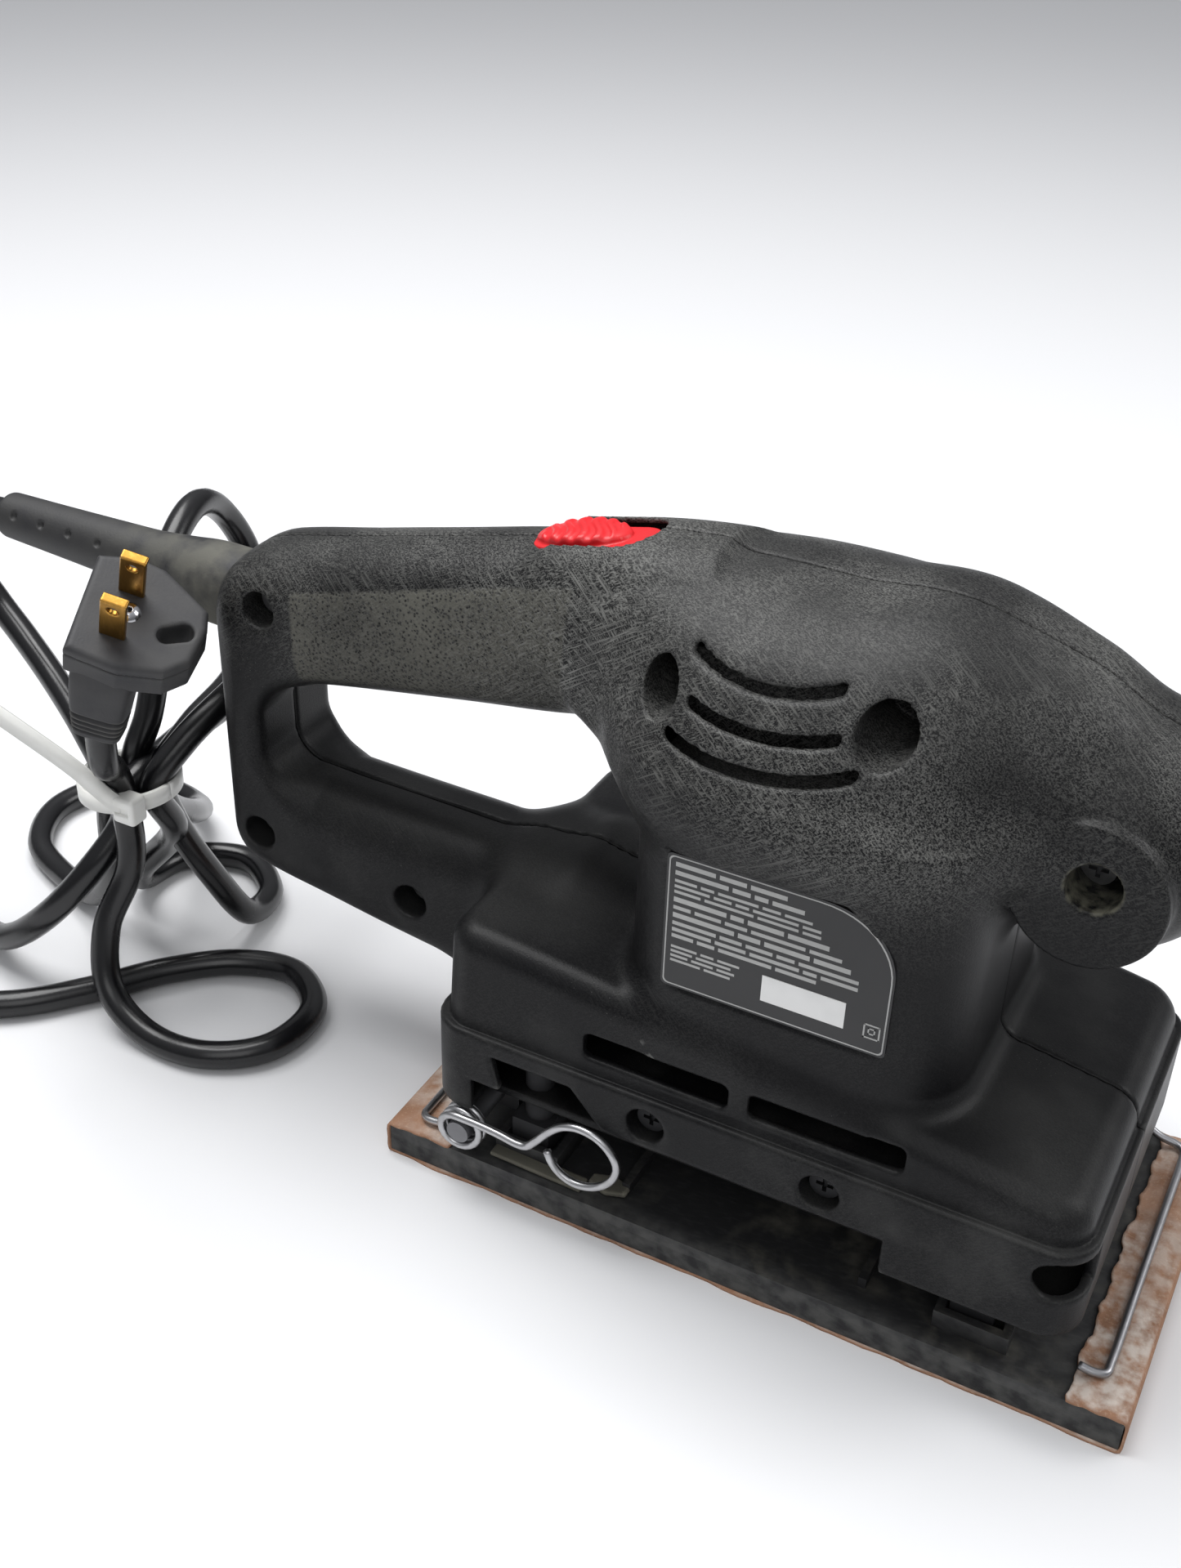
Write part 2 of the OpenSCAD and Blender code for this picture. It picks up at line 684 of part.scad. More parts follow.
// hub with the eccentric pin below and an unbalance opposite the pin
module counterweight() {
    color("#6d6f73") difference() {
        union() {
            translate([0, 0, cw_z]) cylinder(r = 10, h = cw_h);
            intersection() {
                translate([0, 0, cw_z]) cylinder(r = 26, h = 7);
                translate([-30, -30, cw_z]) cube([30, 60, 7]);
            }
            translate([orbit_r, 0, brg_z + brg_h]) cylinder(r = 6, h = cw_z - brg_z - brg_h + 0.1);
            translate([orbit_r, 0, brg_z - 1]) cylinder(r = pin_d / 2, h = brg_h + 1.1);
        }
        translate([0, 0, cw_z]) cylinder(r = shaft_d / 2, h = cw_h + 1);
        translate([6, 0, cw_z + 8]) rotate([0, 90, 0]) cylinder(r = 1.5, h = 12, center = true, $fn = 24);
        translate([orbit_r, 0, 5]) cylinder(r = 1.6, h = brg_z + 6 - 5, $fn = 24);
    }
}

module counterweight_screw() {
    color("#2c2c2e") translate([shaft_d / 2, 0, cw_z + 8]) rotate([0, 90, 0]) cylinder(r = 1.5, h = 5, $fn = 24);
}

module platen_bearing() { color("#b9bcc0") translate([orbit_r, 0, 0]) ring(brg_z, brg_h, brg_d / 2, pin_d / 2 + run); }

module bearing_retainer() {
    color("#9b9ea3") translate([orbit_r, 0, 0]) ring(brg_z - 2.4, 1.4, 6.6, 1.6);
}

module retainer_screw() {
    color("silver") translate([orbit_r, 0, 0]) {
        translate([0, 0, brg_z - 4.2]) cylinder(r = 3, h = 1.8, $fn = 32);
        translate([0, 0, brg_z - 2.4]) cylinder(r = 1.6, h = 8, $fn = 24);
    }
}

module flexible_legs() {
    color("#1d1d1f") for (s = [-1, 1], t = [-1, 1]) translate([s * leg_x, t * leg_y, 0]) difference() {
        union() {
            translate([-leg_s / 2, -leg_s / 2, leg_z0]) cube([leg_s, leg_s, 8]);
            translate([0, 0, leg_z0 + 8]) cylinder(r = 3.6, h = leg_z1 - leg_z0 - 16);
            translate([-leg_s / 2, -leg_s / 2, leg_z1 - 8]) cube([leg_s, leg_s, 8]);
        }
        translate([0, 0, leg_z1 - 13]) cylinder(r = 1.6, h = 20, $fn = 24);
    }
}

// studs moulded into the heads of the legs, up into the housing posts
module leg_screws() {
    color("silver") for (s = [-1, 1], t = [-1, 1]) translate([s * leg_x, t * leg_y, leg_z1 - 13])
        cylinder(r = 1.6, h = 21, $fn = 24);
}

module platen() {
    color("#1b1b1d") translate([orbit_r, 0, 0]) difference() {
        union() {
            translate([-hx, -hy, plate_z]) cube([2 * hx, 2 * hy, plate_t]);
            // hub of the bearing and its webs
            translate([0, 0, plate_z]) cylinder(r = hub_r, h = brg_z + brg_h - plate_z);
            for (t = [-1, 1]) translate([-hx + 34, t * 13 - 1, deck_z - 0.1]) cube([2 * hx - 68, 2, 4]);
            for (s = [-1, 1]) translate([s * 30 - 1, -hy + 8, deck_z - 0.1]) cube([2, 2 * hy - 16, 3]);
            // sockets of the flexible legs
            for (s = [-1, 1], t = [-1, 1]) translate([s * leg_x, t * leg_y, deck_z - 0.1])
                translate([-leg_s / 2 - leg_gap - 2, -leg_s / 2 - leg_gap - 2, 0])
                cube([leg_s + 2 * leg_gap + 4, leg_s + 2 * leg_gap + 4, 5]);
        }
        for (s = [-1, 1], t = [-1, 1]) translate([s * leg_x, t * leg_y, deck_z])
            translate([-leg_s / 2 - leg_gap, -leg_s / 2 - leg_gap, 0])
            cube([leg_s + 2 * leg_gap, leg_s + 2 * leg_gap, 6]);
        translate([0, 0, brg_z]) cylinder(r = brg_d / 2, h = 20);
        translate([0, 0, brg_z - 4.6]) cylinder(r = 8, h = 10);
        for (s = [-1, 1]) translate([s * piv_x, s * (hy - 28), plate_z + 1]) cylinder(r = 1.5, h = 4, $fn = 24);
    }
}

module platen_pad() {
    color("#26262a") translate([orbit_r - hx, -hy, pad_z]) cube([2 * hx, 2 * hy, pad_t]);
}

// abrasive sheet folded over both ends of the platen
module sandpaper() {
    flap = hx - piv_x - 5;
    color("#8a6a4a") translate([orbit_r, 0, 0]) rotate([90, 0, 0]) linear_extrude(2 * hy + 1, center = true) difference() {
        translate([-hx - paper_t, 0]) square([2 * hx + 2 * paper_t, deck_z + paper_t]);
        translate([-hx, paper_t]) square([2 * hx, pad_t + plate_t]);
        translate([-hx + flap, pad_z + 2]) square([2 * hx - 2 * flap, 20]);
    }
}

// wire bent through the given points, its section carried along without twist
module wire(pts, r, sides) {
    n = len(pts) - 1;
    dirs = [for (i = [0:n]) unit(pts[min(i + 1, n)] - pts[max(i - 1, 0)])];
    us = [for (i = 0, u = unit(cross(dirs[0], [0.31, 0.2, 0.93])); i <= n; i = i + 1,
        u = unit(u - (u * dirs[min(i, n)]) * dirs[min(i, n)])) u];
    rings = [for (i = [0:n]) let (v = cross(dirs[i], us[i]))
        for (k = [0:sides - 1]) pts[i] + r * (cos(360 * k / sides) * us[i] + sin(360 * k / sides) * v)];
    faces = concat(
        [[for (k = [0:sides - 1]) sides - 1 - k]],
        [for (i = [0:n - 1], k = [0:sides - 1])
            [i * sides + k, i * sides + (k + 1) % sides, (i + 1) * sides + (k + 1) % sides, (i + 1) * sides + k]],
        [[for (k = [0:sides - 1]) n * sides + k]]
    );
    polyhedron(points = rings, faces = faces, convexity = 8);
}

// one bent wire: open loop and lever beside the platen, coil, bar across the sheet
module clamp_wire() {
    wr = wire_d / 2;
    pitch = wire_d + 0.15;
    turns = 3;
    bar_z = deck_z + paper_t + wr + 0.15;
    loop = [for (a = [-150:20:110]) [37 + 9 * cos(a), 0, 1 + 9 * sin(a)]];
    arm = [[31.2, 0, 8.6], [29, 0, 6.6], [23.4, 0, 2.6], [20.5, 0, 1], [17, 0, 1.2], [8, 0, 3.1], [3, 0, 4.1]];
    coil = [for (k = [0:turns * 14]) let (a = 90 + 360 * k / 14)
        [coil_r * cos(a), pitch * k / 14, coil_r * sin(a)]];
    yb = pitch * turns;
    out = [
        [-2.6, yb + 0.2, 4.1], [-5.4, yb + 0.4, 3], [-8, yb + 0.4, 0.4], [-12.2, yb + 0.4, bar_z - piv_z + 1.6],
        [-14.4, yb + 0.9, bar_z - piv_z], [-15, yb + 2.6, bar_z - piv_z],
        [-15, yb + 2 * hy - 15, bar_z - piv_z], [-14.5, yb + 2 * hy - 13.4, bar_z - piv_z],
        [-12.8, yb + 2 * hy - 13, bar_z - piv_z], [-7, yb + 2 * hy - 13, bar_z - piv_z]
    ];
    translate([-piv_x, -clamp_y, piv_z]) wire(concat(loop, arm, coil, out), wr, 8);
}

module rear_paper_clamp() { color("#d0d2d6") translate([orbit_r, 0, 0]) clamp_wire(); }
module front_paper_clamp() { color("#8c8e92") translate([orbit_r, 0, 0]) rotate(180) clamp_wire(); }

// pins that carry the coils
module clamp_brackets() {
    color("#3c3c40") translate([orbit_r, 0, 0]) for (a = [0, 180]) rotate(a) difference() {
        union() {
            translate([-piv_x, -clamp_y - wire_d / 2, piv_z]) rotate([-90, 0, 0])
                cylinder(r = coil_r - wire_d / 2 - 0.35, h = clamp_y - hy + 25);
            translate([-piv_x - 4, -hy + 20, deck_z]) cube([8, 4, piv_z - deck_z]);
            translate([-piv_x - 4, -hy + 20, deck_z]) cube([8, 12, 2]);
        }
        translate([-piv_x, -hy + 28, deck_z - 1]) cylinder(r = 1.5, h = 4, $fn = 24);
    }
}

module bracket_screws() {
    color("silver") translate([orbit_r, 0, 0]) for (a = [0, 180]) rotate(a) translate([-piv_x, -hy + 28, plate_z + 1]) {
        cylinder(r = 1.5, h = deck_z + 2 - plate_z - 1, $fn = 24);
        translate([0, 0, deck_z + 2 - plate_z - 1]) cylinder(r = 2.8, h = 1.8, $fn = 24);
    }
}

housing_right();
housing_left();
housing_screws();
baffle_screws();
rating_label();
serial_sticker();
switch_slider();
switch_body();
switch_leads();
strain_relief();
cord_inner_end();
cord_clamp();
cord_clamp_screws();
power_cord();
cord_hank();
plug_cord();
plug_body();
plug_blades();
cable_tie();
field_stack();
field_coils();
motor_screws();
armature_core();
armature_windings();
armature_shaft();
commutator();
brush_holders();
brush_right();
brush_left();
brush_spring_right();
brush_spring_left();
upper_bearing();
lower_bearing();
bearing_sleeve();
cooling_fan();
fan_baffle();
counterweight();
counterweight_screw();
platen_bearing();
bearing_retainer();
retainer_screw();
flexible_legs();
leg_screws();
platen();
platen_pad();
sandpaper();
rear_paper_clamp();
front_paper_clamp();
clamp_brackets();
bracket_screws();
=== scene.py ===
import math

import bpy
import numpy as np
import openvdb
from mathutils import Matrix, Vector


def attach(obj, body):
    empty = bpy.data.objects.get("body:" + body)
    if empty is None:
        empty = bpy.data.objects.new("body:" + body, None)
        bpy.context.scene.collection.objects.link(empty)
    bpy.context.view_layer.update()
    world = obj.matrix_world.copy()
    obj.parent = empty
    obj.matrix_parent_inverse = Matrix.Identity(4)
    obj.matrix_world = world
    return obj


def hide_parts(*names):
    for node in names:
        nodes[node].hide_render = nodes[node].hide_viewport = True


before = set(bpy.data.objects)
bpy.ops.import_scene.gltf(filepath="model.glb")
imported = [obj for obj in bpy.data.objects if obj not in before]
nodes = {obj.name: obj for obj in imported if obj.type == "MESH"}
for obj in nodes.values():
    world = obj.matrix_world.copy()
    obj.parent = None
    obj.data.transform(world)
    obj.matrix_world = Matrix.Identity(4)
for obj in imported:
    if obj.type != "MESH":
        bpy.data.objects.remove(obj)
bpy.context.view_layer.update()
MM = 0.001
scene = bpy.context.scene


# ---------------------------------------------------------------- camera
def make_camera():
    """The camera of the photo, solved from points of the sander that the photo shows."""
    yaw, pitch, roll = (math.radians(v) for v in (117.01, 32.315, 1.798))
    place_m = (0.10045, -0.31734, 0.31936)
    fw = Vector((math.cos(pitch) * math.cos(yaw), math.cos(pitch) * math.sin(yaw), -math.sin(pitch)))
    rt = Vector((math.sin(yaw), -math.cos(yaw), 0))
    up = rt.cross(fw)
    r = rt * math.cos(roll) + up * math.sin(roll)
    u = -rt * math.sin(roll) + up * math.cos(roll)
    cam = bpy.data.cameras.new("camera")
    cam.sensor_width = 36
    cam.lens = 40.71
    cam.clip_start, cam.clip_end = 0.01, 20
    ob = bpy.data.objects.new("camera", cam)
    scene.collection.objects.link(ob)
    m = Matrix((r, u, -fw)).transposed().to_4x4()
    m.translation = Vector(place_m)
    ob.matrix_world = m
    scene.camera = ob


make_camera()


# ---------------------------------------------------------------- mesh helpers
def mesh_object(name, points, faces, smooth=True):
    me = bpy.data.meshes.new(name)
    me.from_pydata([tuple(p) for p in points], [], [tuple(f) for f in faces])
    me.validate()
    me.update()
    if smooth:
        me.shade_smooth()
    ob = bpy.data.objects.new(name, me)
    scene.collection.objects.link(ob)
    return ob


def fast_mesh(name, points, faces):
    """Smooth mesh from arrays: points in metres, faces as an (n, 4) array."""
    me = bpy.data.meshes.new(name)
    k = faces.shape[1]
    me.vertices.add(len(points))
    me.vertices.foreach_set("co", np.ascontiguousarray(points, np.float32).ravel())
    me.loops.add(faces.size)
    me.loops.foreach_set("vertex_index", np.ascontiguousarray(faces, np.int32).ravel())
    me.polygons.add(len(faces))
    me.polygons.foreach_set("loop_start", np.arange(0, faces.size, k, dtype=np.int32))
    me.update(calc_edges=True)
    me.validate()
    me.shade_smooth()
    ob = bpy.data.objects.new(name, me)
    scene.collection.objects.link(ob)
    return ob


def spline(points, per):
    """Smooth line through the points: centripetal Catmull-Rom, sampled evenly per span."""
    p = [np.array(q, float) for q in points]
    ext = [2 * p[0] - p[1]] + p + [2 * p[-1] - p[-2]]
    out = []
    for i in range(1, len(ext) - 2):
        a, b, c, d = ext[i - 1 : i + 3]
        t0, t1 = 0.0, max(np.linalg.norm(b - a), 1e-6) ** 0.5
        t2 = t1 + max(np.linalg.norm(c - b), 1e-6) ** 0.5
        t3 = t2 + max(np.linalg.norm(d - c), 1e-6) ** 0.5
        for k in range(per):
            t = t1 + (t2 - t1) * k / per
            a1 = (t1 - t) / (t1 - t0) * a + (t - t0) / (t1 - t0) * b
            a2 = (t2 - t) / (t2 - t1) * b + (t - t1) / (t2 - t1) * c
            a3 = (t3 - t) / (t3 - t2) * c + (t - t2) / (t3 - t2) * d
            b1 = (t2 - t) / (t2 - t0) * a1 + (t - t0) / (t2 - t0) * a2
            b2 = (t3 - t) / (t3 - t1) * a2 + (t - t1) / (t3 - t1) * a3
            out.append((t2 - t) / (t2 - t1) * b1 + (t - t1) / (t2 - t1) * b2)
    out.append(p[-1])
    return np.array(out)


# ---------------------------------------------------------------- housing as a distance field
# millimetres; y is folded, so both halves share one form
VOX = 0.66
X0, X1, Y1, Z0, Z1 = -168.0, 84.0, 51.0, 20.0, 168.0
gx = np.arange(X0, X1, VOX, dtype=np.float32)
gy = np.arange(-2.4, Y1, VOX, dtype=np.float32)
gz = np.arange(Z0, Z1, VOX, dtype=np.float32)


class Field:
    """Signed distances on the grid; every form touches only the block around it."""

    def __init__(self):
        self.d = np.full((len(gx), len(gy), len(gz)), 40.0, np.float32)

    def block(self, lo, hi, pad):
        s = []
        for g, a, b in zip((gx, gy, gz), lo, hi):
            i, j = np.searchsorted(g, [a - pad, b + pad])
            s.append(slice(max(i - 1, 0), min(j + 1, len(g))))
        x = gx[s[0]][:, None, None]
        y = gy[s[1]][None, :, None]
        z = gz[s[2]][None, None, :]
        return tuple(s), x, y, z

    def add(self, fn, lo, hi, r=0.0):
        s, x, y, z = self.block(lo, hi, 12.0 + r)
        self.d[s] = smooth_min(self.d[s], fn(x, y, z), r)


def smooth_min(a, b, r):
    """Union with a soft fillet of width r."""
    if r <= 0:
        return np.minimum(a, b)
    h = np.maximum(r - np.abs(a - b), 0) / r
    return np.minimum(a, b) - h * h * h * r / 6


def capsule(x, y, z, a, b, ra, rb):
    """Round cone between two balls."""
    ax, ay, az = a
    bx, by, bz = (b[0] - ax, b[1] - ay, b[2] - az)
    n = bx * bx + by * by + bz * bz + 1e-9
    t = np.clip(((x - ax) * bx + (y - ay) * by + (z - az) * bz) / n, 0, 1)
    away = np.sqrt((x - ax - t * bx) ** 2 + (y - ay - t * by) ** 2 + (z - az - t * bz) ** 2)
    return away - (ra + (rb - ra) * t)


def box2(u, v, hu, hv, r):
    """Rectangle with half sides hu and hv and round corners."""
    qu, qv = np.abs(u) - hu + r, np.abs(v) - hv + r
    return np.hypot(np.maximum(qu, 0), np.maximum(qv, 0)) + np.minimum(np.maximum(qu, qv), 0) - r


def plate_curve(x, pts):
    """Height of a smooth profile through the given stations."""
    s = spline([(a, b, 0) for a, b in pts], 10)
    return np.interp(x, s[:, 0], s[:, 1]).astype(np.float32)


def crowned(x, y, z, top, bottom, half, crown, edge):
    """Bar along x: curved top and bottom lines, a side width, a crown across y and rounded edges."""
    t = plate_curve(x, top)
    b = plate_curve(x, bottom)
    w = plate_curve(x, half)
    lift = crown - np.sqrt(np.maximum(crown * crown - np.minimum(y * y, crown * crown * 0.96), 0))
    up = z - (t - lift)
    down = b - z
    out = np.abs(y) - w
    return round_max(round_max(up, out, edge), down, edge * 0.6)


def round_max(a, b, r):
    """Intersection with a true radius along the edge."""
    u, v = np.maximum(a + r, 0), np.maximum(b + r, 0)
    return np.minimum(np.maximum(a, b), -r) + np.hypot(u, v)


def round_min(a, b, r):
    """Union with a true radius along the corner."""
    u, v = np.maximum(r - a, 0), np.maximum(r - b, 0)
    return np.maximum(np.minimum(a, b), r) - np.hypot(u, v)


# stations (x, height) of the side view, and (x, width or radius) of the shoulder
TOP = [
    (-175, 108), (-166, 120), (-161, 132), (-152, 137.5), (-122, 145), (-99, 150.5), (-76, 156), (-46, 161.8),
    (-28, 163.4), (-10, 163.8), (14, 162.6), (33, 158.8), (50, 154), (66, 149), (84, 140),
]
UNDER = [(-150, 101.5), (-138, 103), (-126, 105.5), (-89, 112), (-62, 116.5), (-46, 121), (-36, 130)]
RAIL = [
    (-150, 77.5), (-136, 76.4), (-89, 75.4), (-70, 75.2), (-64, 76.8), (-58.5, 78.6), (-53, 77), (-46, 75.5),
    (-36, 76),
]
BELLY = [(-172, 64), (-165, 55), (-156, 48.5), (-147, 45.6), (-130, 42.8), (-108, 39.3), (-79, 36), (-60, 36)]
CHIN = [(-66, 136), (-58, 127), (-50, 119.5), (-42, 117), (60, 117)]
ROOF = [(-90, 76), (-70, 75.2), (-40, 72.4), (0, 68), (40, 62.8), (66, 58.6), (84, 55)]
CROWN = [(-66, 18.6), (-52, 23), (-40, 34), (-28, 50), (-12, 60), (30, 60), (60, 40)]
EDGE = [(-66, 9.5), (-50, 12), (-36, 17), (-20, 19), (60, 19)]
HALF = [
    (-66, 16.7), (-58, 18), (-50, 22), (-40, 33), (-30, 41.5), (-18, 45.2), (-4, 46.2), (10, 46), (22, 43),
    (32, 37), (42, 29.5), (52, 25), (60, 23),
]
# recesses of the screws: x, z, radius, and the |y| of the bottom
SCREWS = [
    (-144, 125.5, 4.6, 7), (-149, 60, 4.6, 7), (-103, 54.5, 4.6, 7), (18.4, 148.6, 5.9, 14),
    (60.8, 124, 5.5, 14),
]
SKIRT_SCREWS_X = (-21.3, 20.8)
SKIRT_SCREWS_Z = 41
# vents: height, both ends along x, radius of the bow, tilt, half width
VENTS = [
    (151.5, -24, 8.6, 50, 0, 0.95),
    (144.2, -22, 10.8, 58, 0.03, 1.15),
    (137.1, -25.5, 15.6, 64, 0.06, 1.3),
]
WALL = 2.6
HANDLE_HALF = 16.6
HANDLE_CROWN = 18.5
SWITCH_SLOPE = math.radians(12.4)


def housing_form(f):
    """The closed outside of the machine, without its openings."""
    def skirt_low(x, y, z):
        d = round_max(box2(x, y, 79, 47, 9.5), z - 49, 0.5)
        return round_max(d, 25 - z, 0.8)

    def skirt_up(x, y, z):
        lean = 0.035 * (z - 49)
        d = round_max(box2(x, y, 77.0 - lean, 44.9 - lean, 8.4), z - plate_curve(x, ROOF), 5.8)
        return round_max(d, 47.5 - z, 0.4)

    def tower(x, y, z):
        return np.maximum(np.maximum(box2(x - 4, y, 39.5, 42, 20), z - 128), 55 - z)

    def shoulder(x, y, z):
        d = crowned(x, y, z, TOP, CHIN, HALF, plate_curve(x, CROWN), plate_curve(x, EDGE))
        return round_max(np.maximum(d, -66 - x), x - 56, 8)

    def handle(x, y, z):
        outer = round_max(z - plate_curve(x, TOP), -161.4 - x, 15)
        outer = round_max(outer, plate_curve(x, BELLY) - z, 9)
        gap = round_max(z - plate_curve(x, UNDER), plate_curve(x, RAIL) - z, 9)
        gap = round_max(gap, -147 - x, 8)
        lift = HANDLE_CROWN - np.sqrt(HANDLE_CROWN * HANDLE_CROWN - np.minimum(y * y, 290))
        crown = z - (plate_curve(x, TOP) - lift)
        soft = np.clip(4 + (x + 146) * 0.7, 4, 13)
        inner = round_max(-gap, np.abs(y) - HANDLE_HALF, soft)
        flat = np.maximum(round_max(outer, np.abs(y) - HANDLE_HALF, 9.5), inner)
        flat = round_max(flat, crown, 3)
        # the handle ends inside the shoulder
        return np.maximum(flat, x + 34)

    def ball(x, y, z):
        yy = np.maximum(np.abs(y) - 3, 0)
        return np.sqrt((x - 60.2) ** 2 + yy * yy + (z - 124.6) ** 2) - 24.6

    def boss(x, y, z):
        return round_max(np.hypot((x - 59.8) * 1.04, z - 121.4) - 16.4, np.abs(y) - 27.0, 0.9)

    def neck(x, y, z):
        return capsule(x, np.maximum(np.abs(y) - 6, 0), z, (22, 0, 141.5), (58, 0, 131), 20.5, 19)

    def gusset(x, y, z):
        d = np.maximum(-101 - x, x + 60)
        d = np.maximum(d, 27 - z + np.maximum(-80 - x, 0) * 0.95)
        return round_max(np.maximum(d, z - 60), np.abs(y) - 13.5, 3)

    f.add(skirt_low, (-80, 0, 24), (80, 48, 50))
    f.add(skirt_up, (-80, 0, 46), (80, 48, 78))
    s, x, y, z = f.block((-60, -2, 50), (70, 51, 168), 14)
    body = round_min(tower(x, y, z), shoulder(x, y, z), 9)
    front = smooth_min(neck(x, y, z), ball(x, y, z), 4)
    body = round_min(body, front, 11)
    f.d[s] = round_min(f.d[s], body, 4.8)
    s, x, y, z = f.block((-168, -2, 24), (-20, 30, 168), 14)
    grip = handle(x, y, z)
    f.d[s] = round_min(f.d[s], grip, 11)
    f.add(gusset, (-101, 0, 26), (-60, 14, 60), 5)
    f.add(boss, (43, 0, 104), (77, 27.5, 139), 1.4)


def slot_x(x, z, x0, x1, z0, z1, r):
    """Rectangle in the side view, given by its edges."""
    return box2(x - (x0 + x1) / 2, z - (z0 + z1) / 2, (x1 - x0) / 2, (z1 - z0) / 2, r)


def housing_half(side):
    """side is -1 for the right half, the one with the rating plate, and 1 for the left one."""
    f = Field()
    housing_form(f)
    outer = f.d
    x = gx[:, None, None]
    y = gy[None, :, None]
    z = gz[None, None, :]
    shell = np.maximum(outer, -(outer + WALL))
    # ribs of solid plastic round the screw recesses
    for sx, sz, r, _ in SCREWS + [(-29.2, 146, 4.6, 12)]:
        tube = np.maximum(np.hypot(x - sx, z - sz) - r - 2.2, outer + 0.3)
        shell = np.minimum(shell, tube)
    flip = 1 if side < 0 else -1
    xs = x * flip
    # opening of the skirt for the lever of the paper clamp
    low = np.maximum(z - 34.6, np.maximum(-67 - xs, xs - 36))
    slope = np.maximum(z - 44, np.maximum(-61.5 - xs + (44 - z) * 0.27, xs + 40.5 - (44 - z) * 0.9))
    gap = np.maximum(np.minimum(low, slope), 38 - y)
    shell = round_max(shell, -gap, 0.7)
    # two long slots of the skirt and the two screws under them
    for a, b in ((-38.4, -2.8), (2.1, 37.7)):
        cut = np.maximum(slot_x(xs, z, a, b, 52.9, 59.5, 1.8), 36 - y)
        shell = round_max(shell, -cut, 0.6)
    for sx in SKIRT_SCREWS_X:
        away = np.hypot(x - sx, z - SKIRT_SCREWS_Z)
        cup = np.maximum(away - 4.6, 40 - y)
        boss = np.maximum(np.maximum(away - 6.4, 37 - y), outer + 0.2)
        shell = round_max(np.minimum(shell, boss), -cup, 0.7)
    # three curved vents on the shoulder
    for zc, a0, a1, rad, tilt, half in VENTS:
        mid = (a0 + a1) / 2
        r = np.hypot(x - mid, z - tilt * (x - mid) - (zc + rad))
        cut = round_max(np.abs(r - rad) - half, np.maximum(a0 - x, x - a1), half * 0.9)
        cut = np.maximum(cut, 22 - y)
        shell = round_max(shell, -cut, 0.8)
    # wall behind the vents
    back = box2(x + 4, z - 141, 24, 11.4, 1)
    shell = np.minimum(shell, np.maximum(np.maximum(back, np.abs(y - 25) - 0.9), outer + 0.3))
    shelf = np.maximum(np.abs(x + 4) - 24, np.abs(z - 130.8) - 0.8)
    shell = np.minimum(shell, np.maximum(np.maximum(shelf, 24.5 - y), outer + 0.3))
    # window of the slide switch
    ca, sa = math.cos(SWITCH_SLOPE), math.sin(SWITCH_SLOPE)
    u = (x + 60.5) * ca + (z - 158.6) * sa
    v = -(x + 60.5) * sa + (z - 158.6) * ca
    win = np.maximum(box2(u, y, 15.6, 8.6, 8.5), np.abs(v) - 8)
    shell = round_max(shell, -win, 0.6)
    if side < 0:
        for sx, sz, r, depth in SCREWS:
            cup = np.maximum(np.hypot(x - sx, z - sz) - r, depth - y)
            shell = round_max(shell, -cup, 0.8)
        oval = np.maximum(np.hypot((x + 29.2) / 4.5, (z - 145.6) / 5.8) * 5.2 - 5.2, 14 - y)
        shell = round_max(shell, -oval, 0.8)
        # notch that is open at the front corner of the skirt
        corner = np.maximum(np.hypot(np.minimum(x - 73, 0), z - 40.6) - 5.2, np.abs(z - 40.6) - 5.2)
        shell = round_max(shell, -np.maximum(corner, 35 - y), 0.7)
        # seat of the rating plate
        seat = np.maximum(slot_x(x, z, -22.2, 29.9, 78.6, 114, 1), 41.3 - y)
        seat = np.maximum(seat, ((x - 29.9) + (z - 114)) * 0.7071 + 8.6)
        shell = round_max(shell, -seat, 0.4)
    # parting face with a soft edge
    shell = round_max(shell, 0.16 - y, 0.55)
    pts, quads = shell_mesh(shell)
    pts[:, 1] *= side
    if side < 0:
        quads = quads[:, ::-1]
    return pts, quads


def shell_mesh(d):
    """Points and quads of the field's zero level, in mm."""
    grid = openvdb.FloatGrid(3.0)
    grid.copyFromArray(np.clip(d / VOX, -3, 3).astype(np.float32))
    p, q = grid.convertToQuads(isovalue=0.0)
    p = np.asarray(p, np.float32) * VOX + np.array([gx[0], gy[0], gz[0]], np.float32)
    return p, np.asarray(q, np.int32)


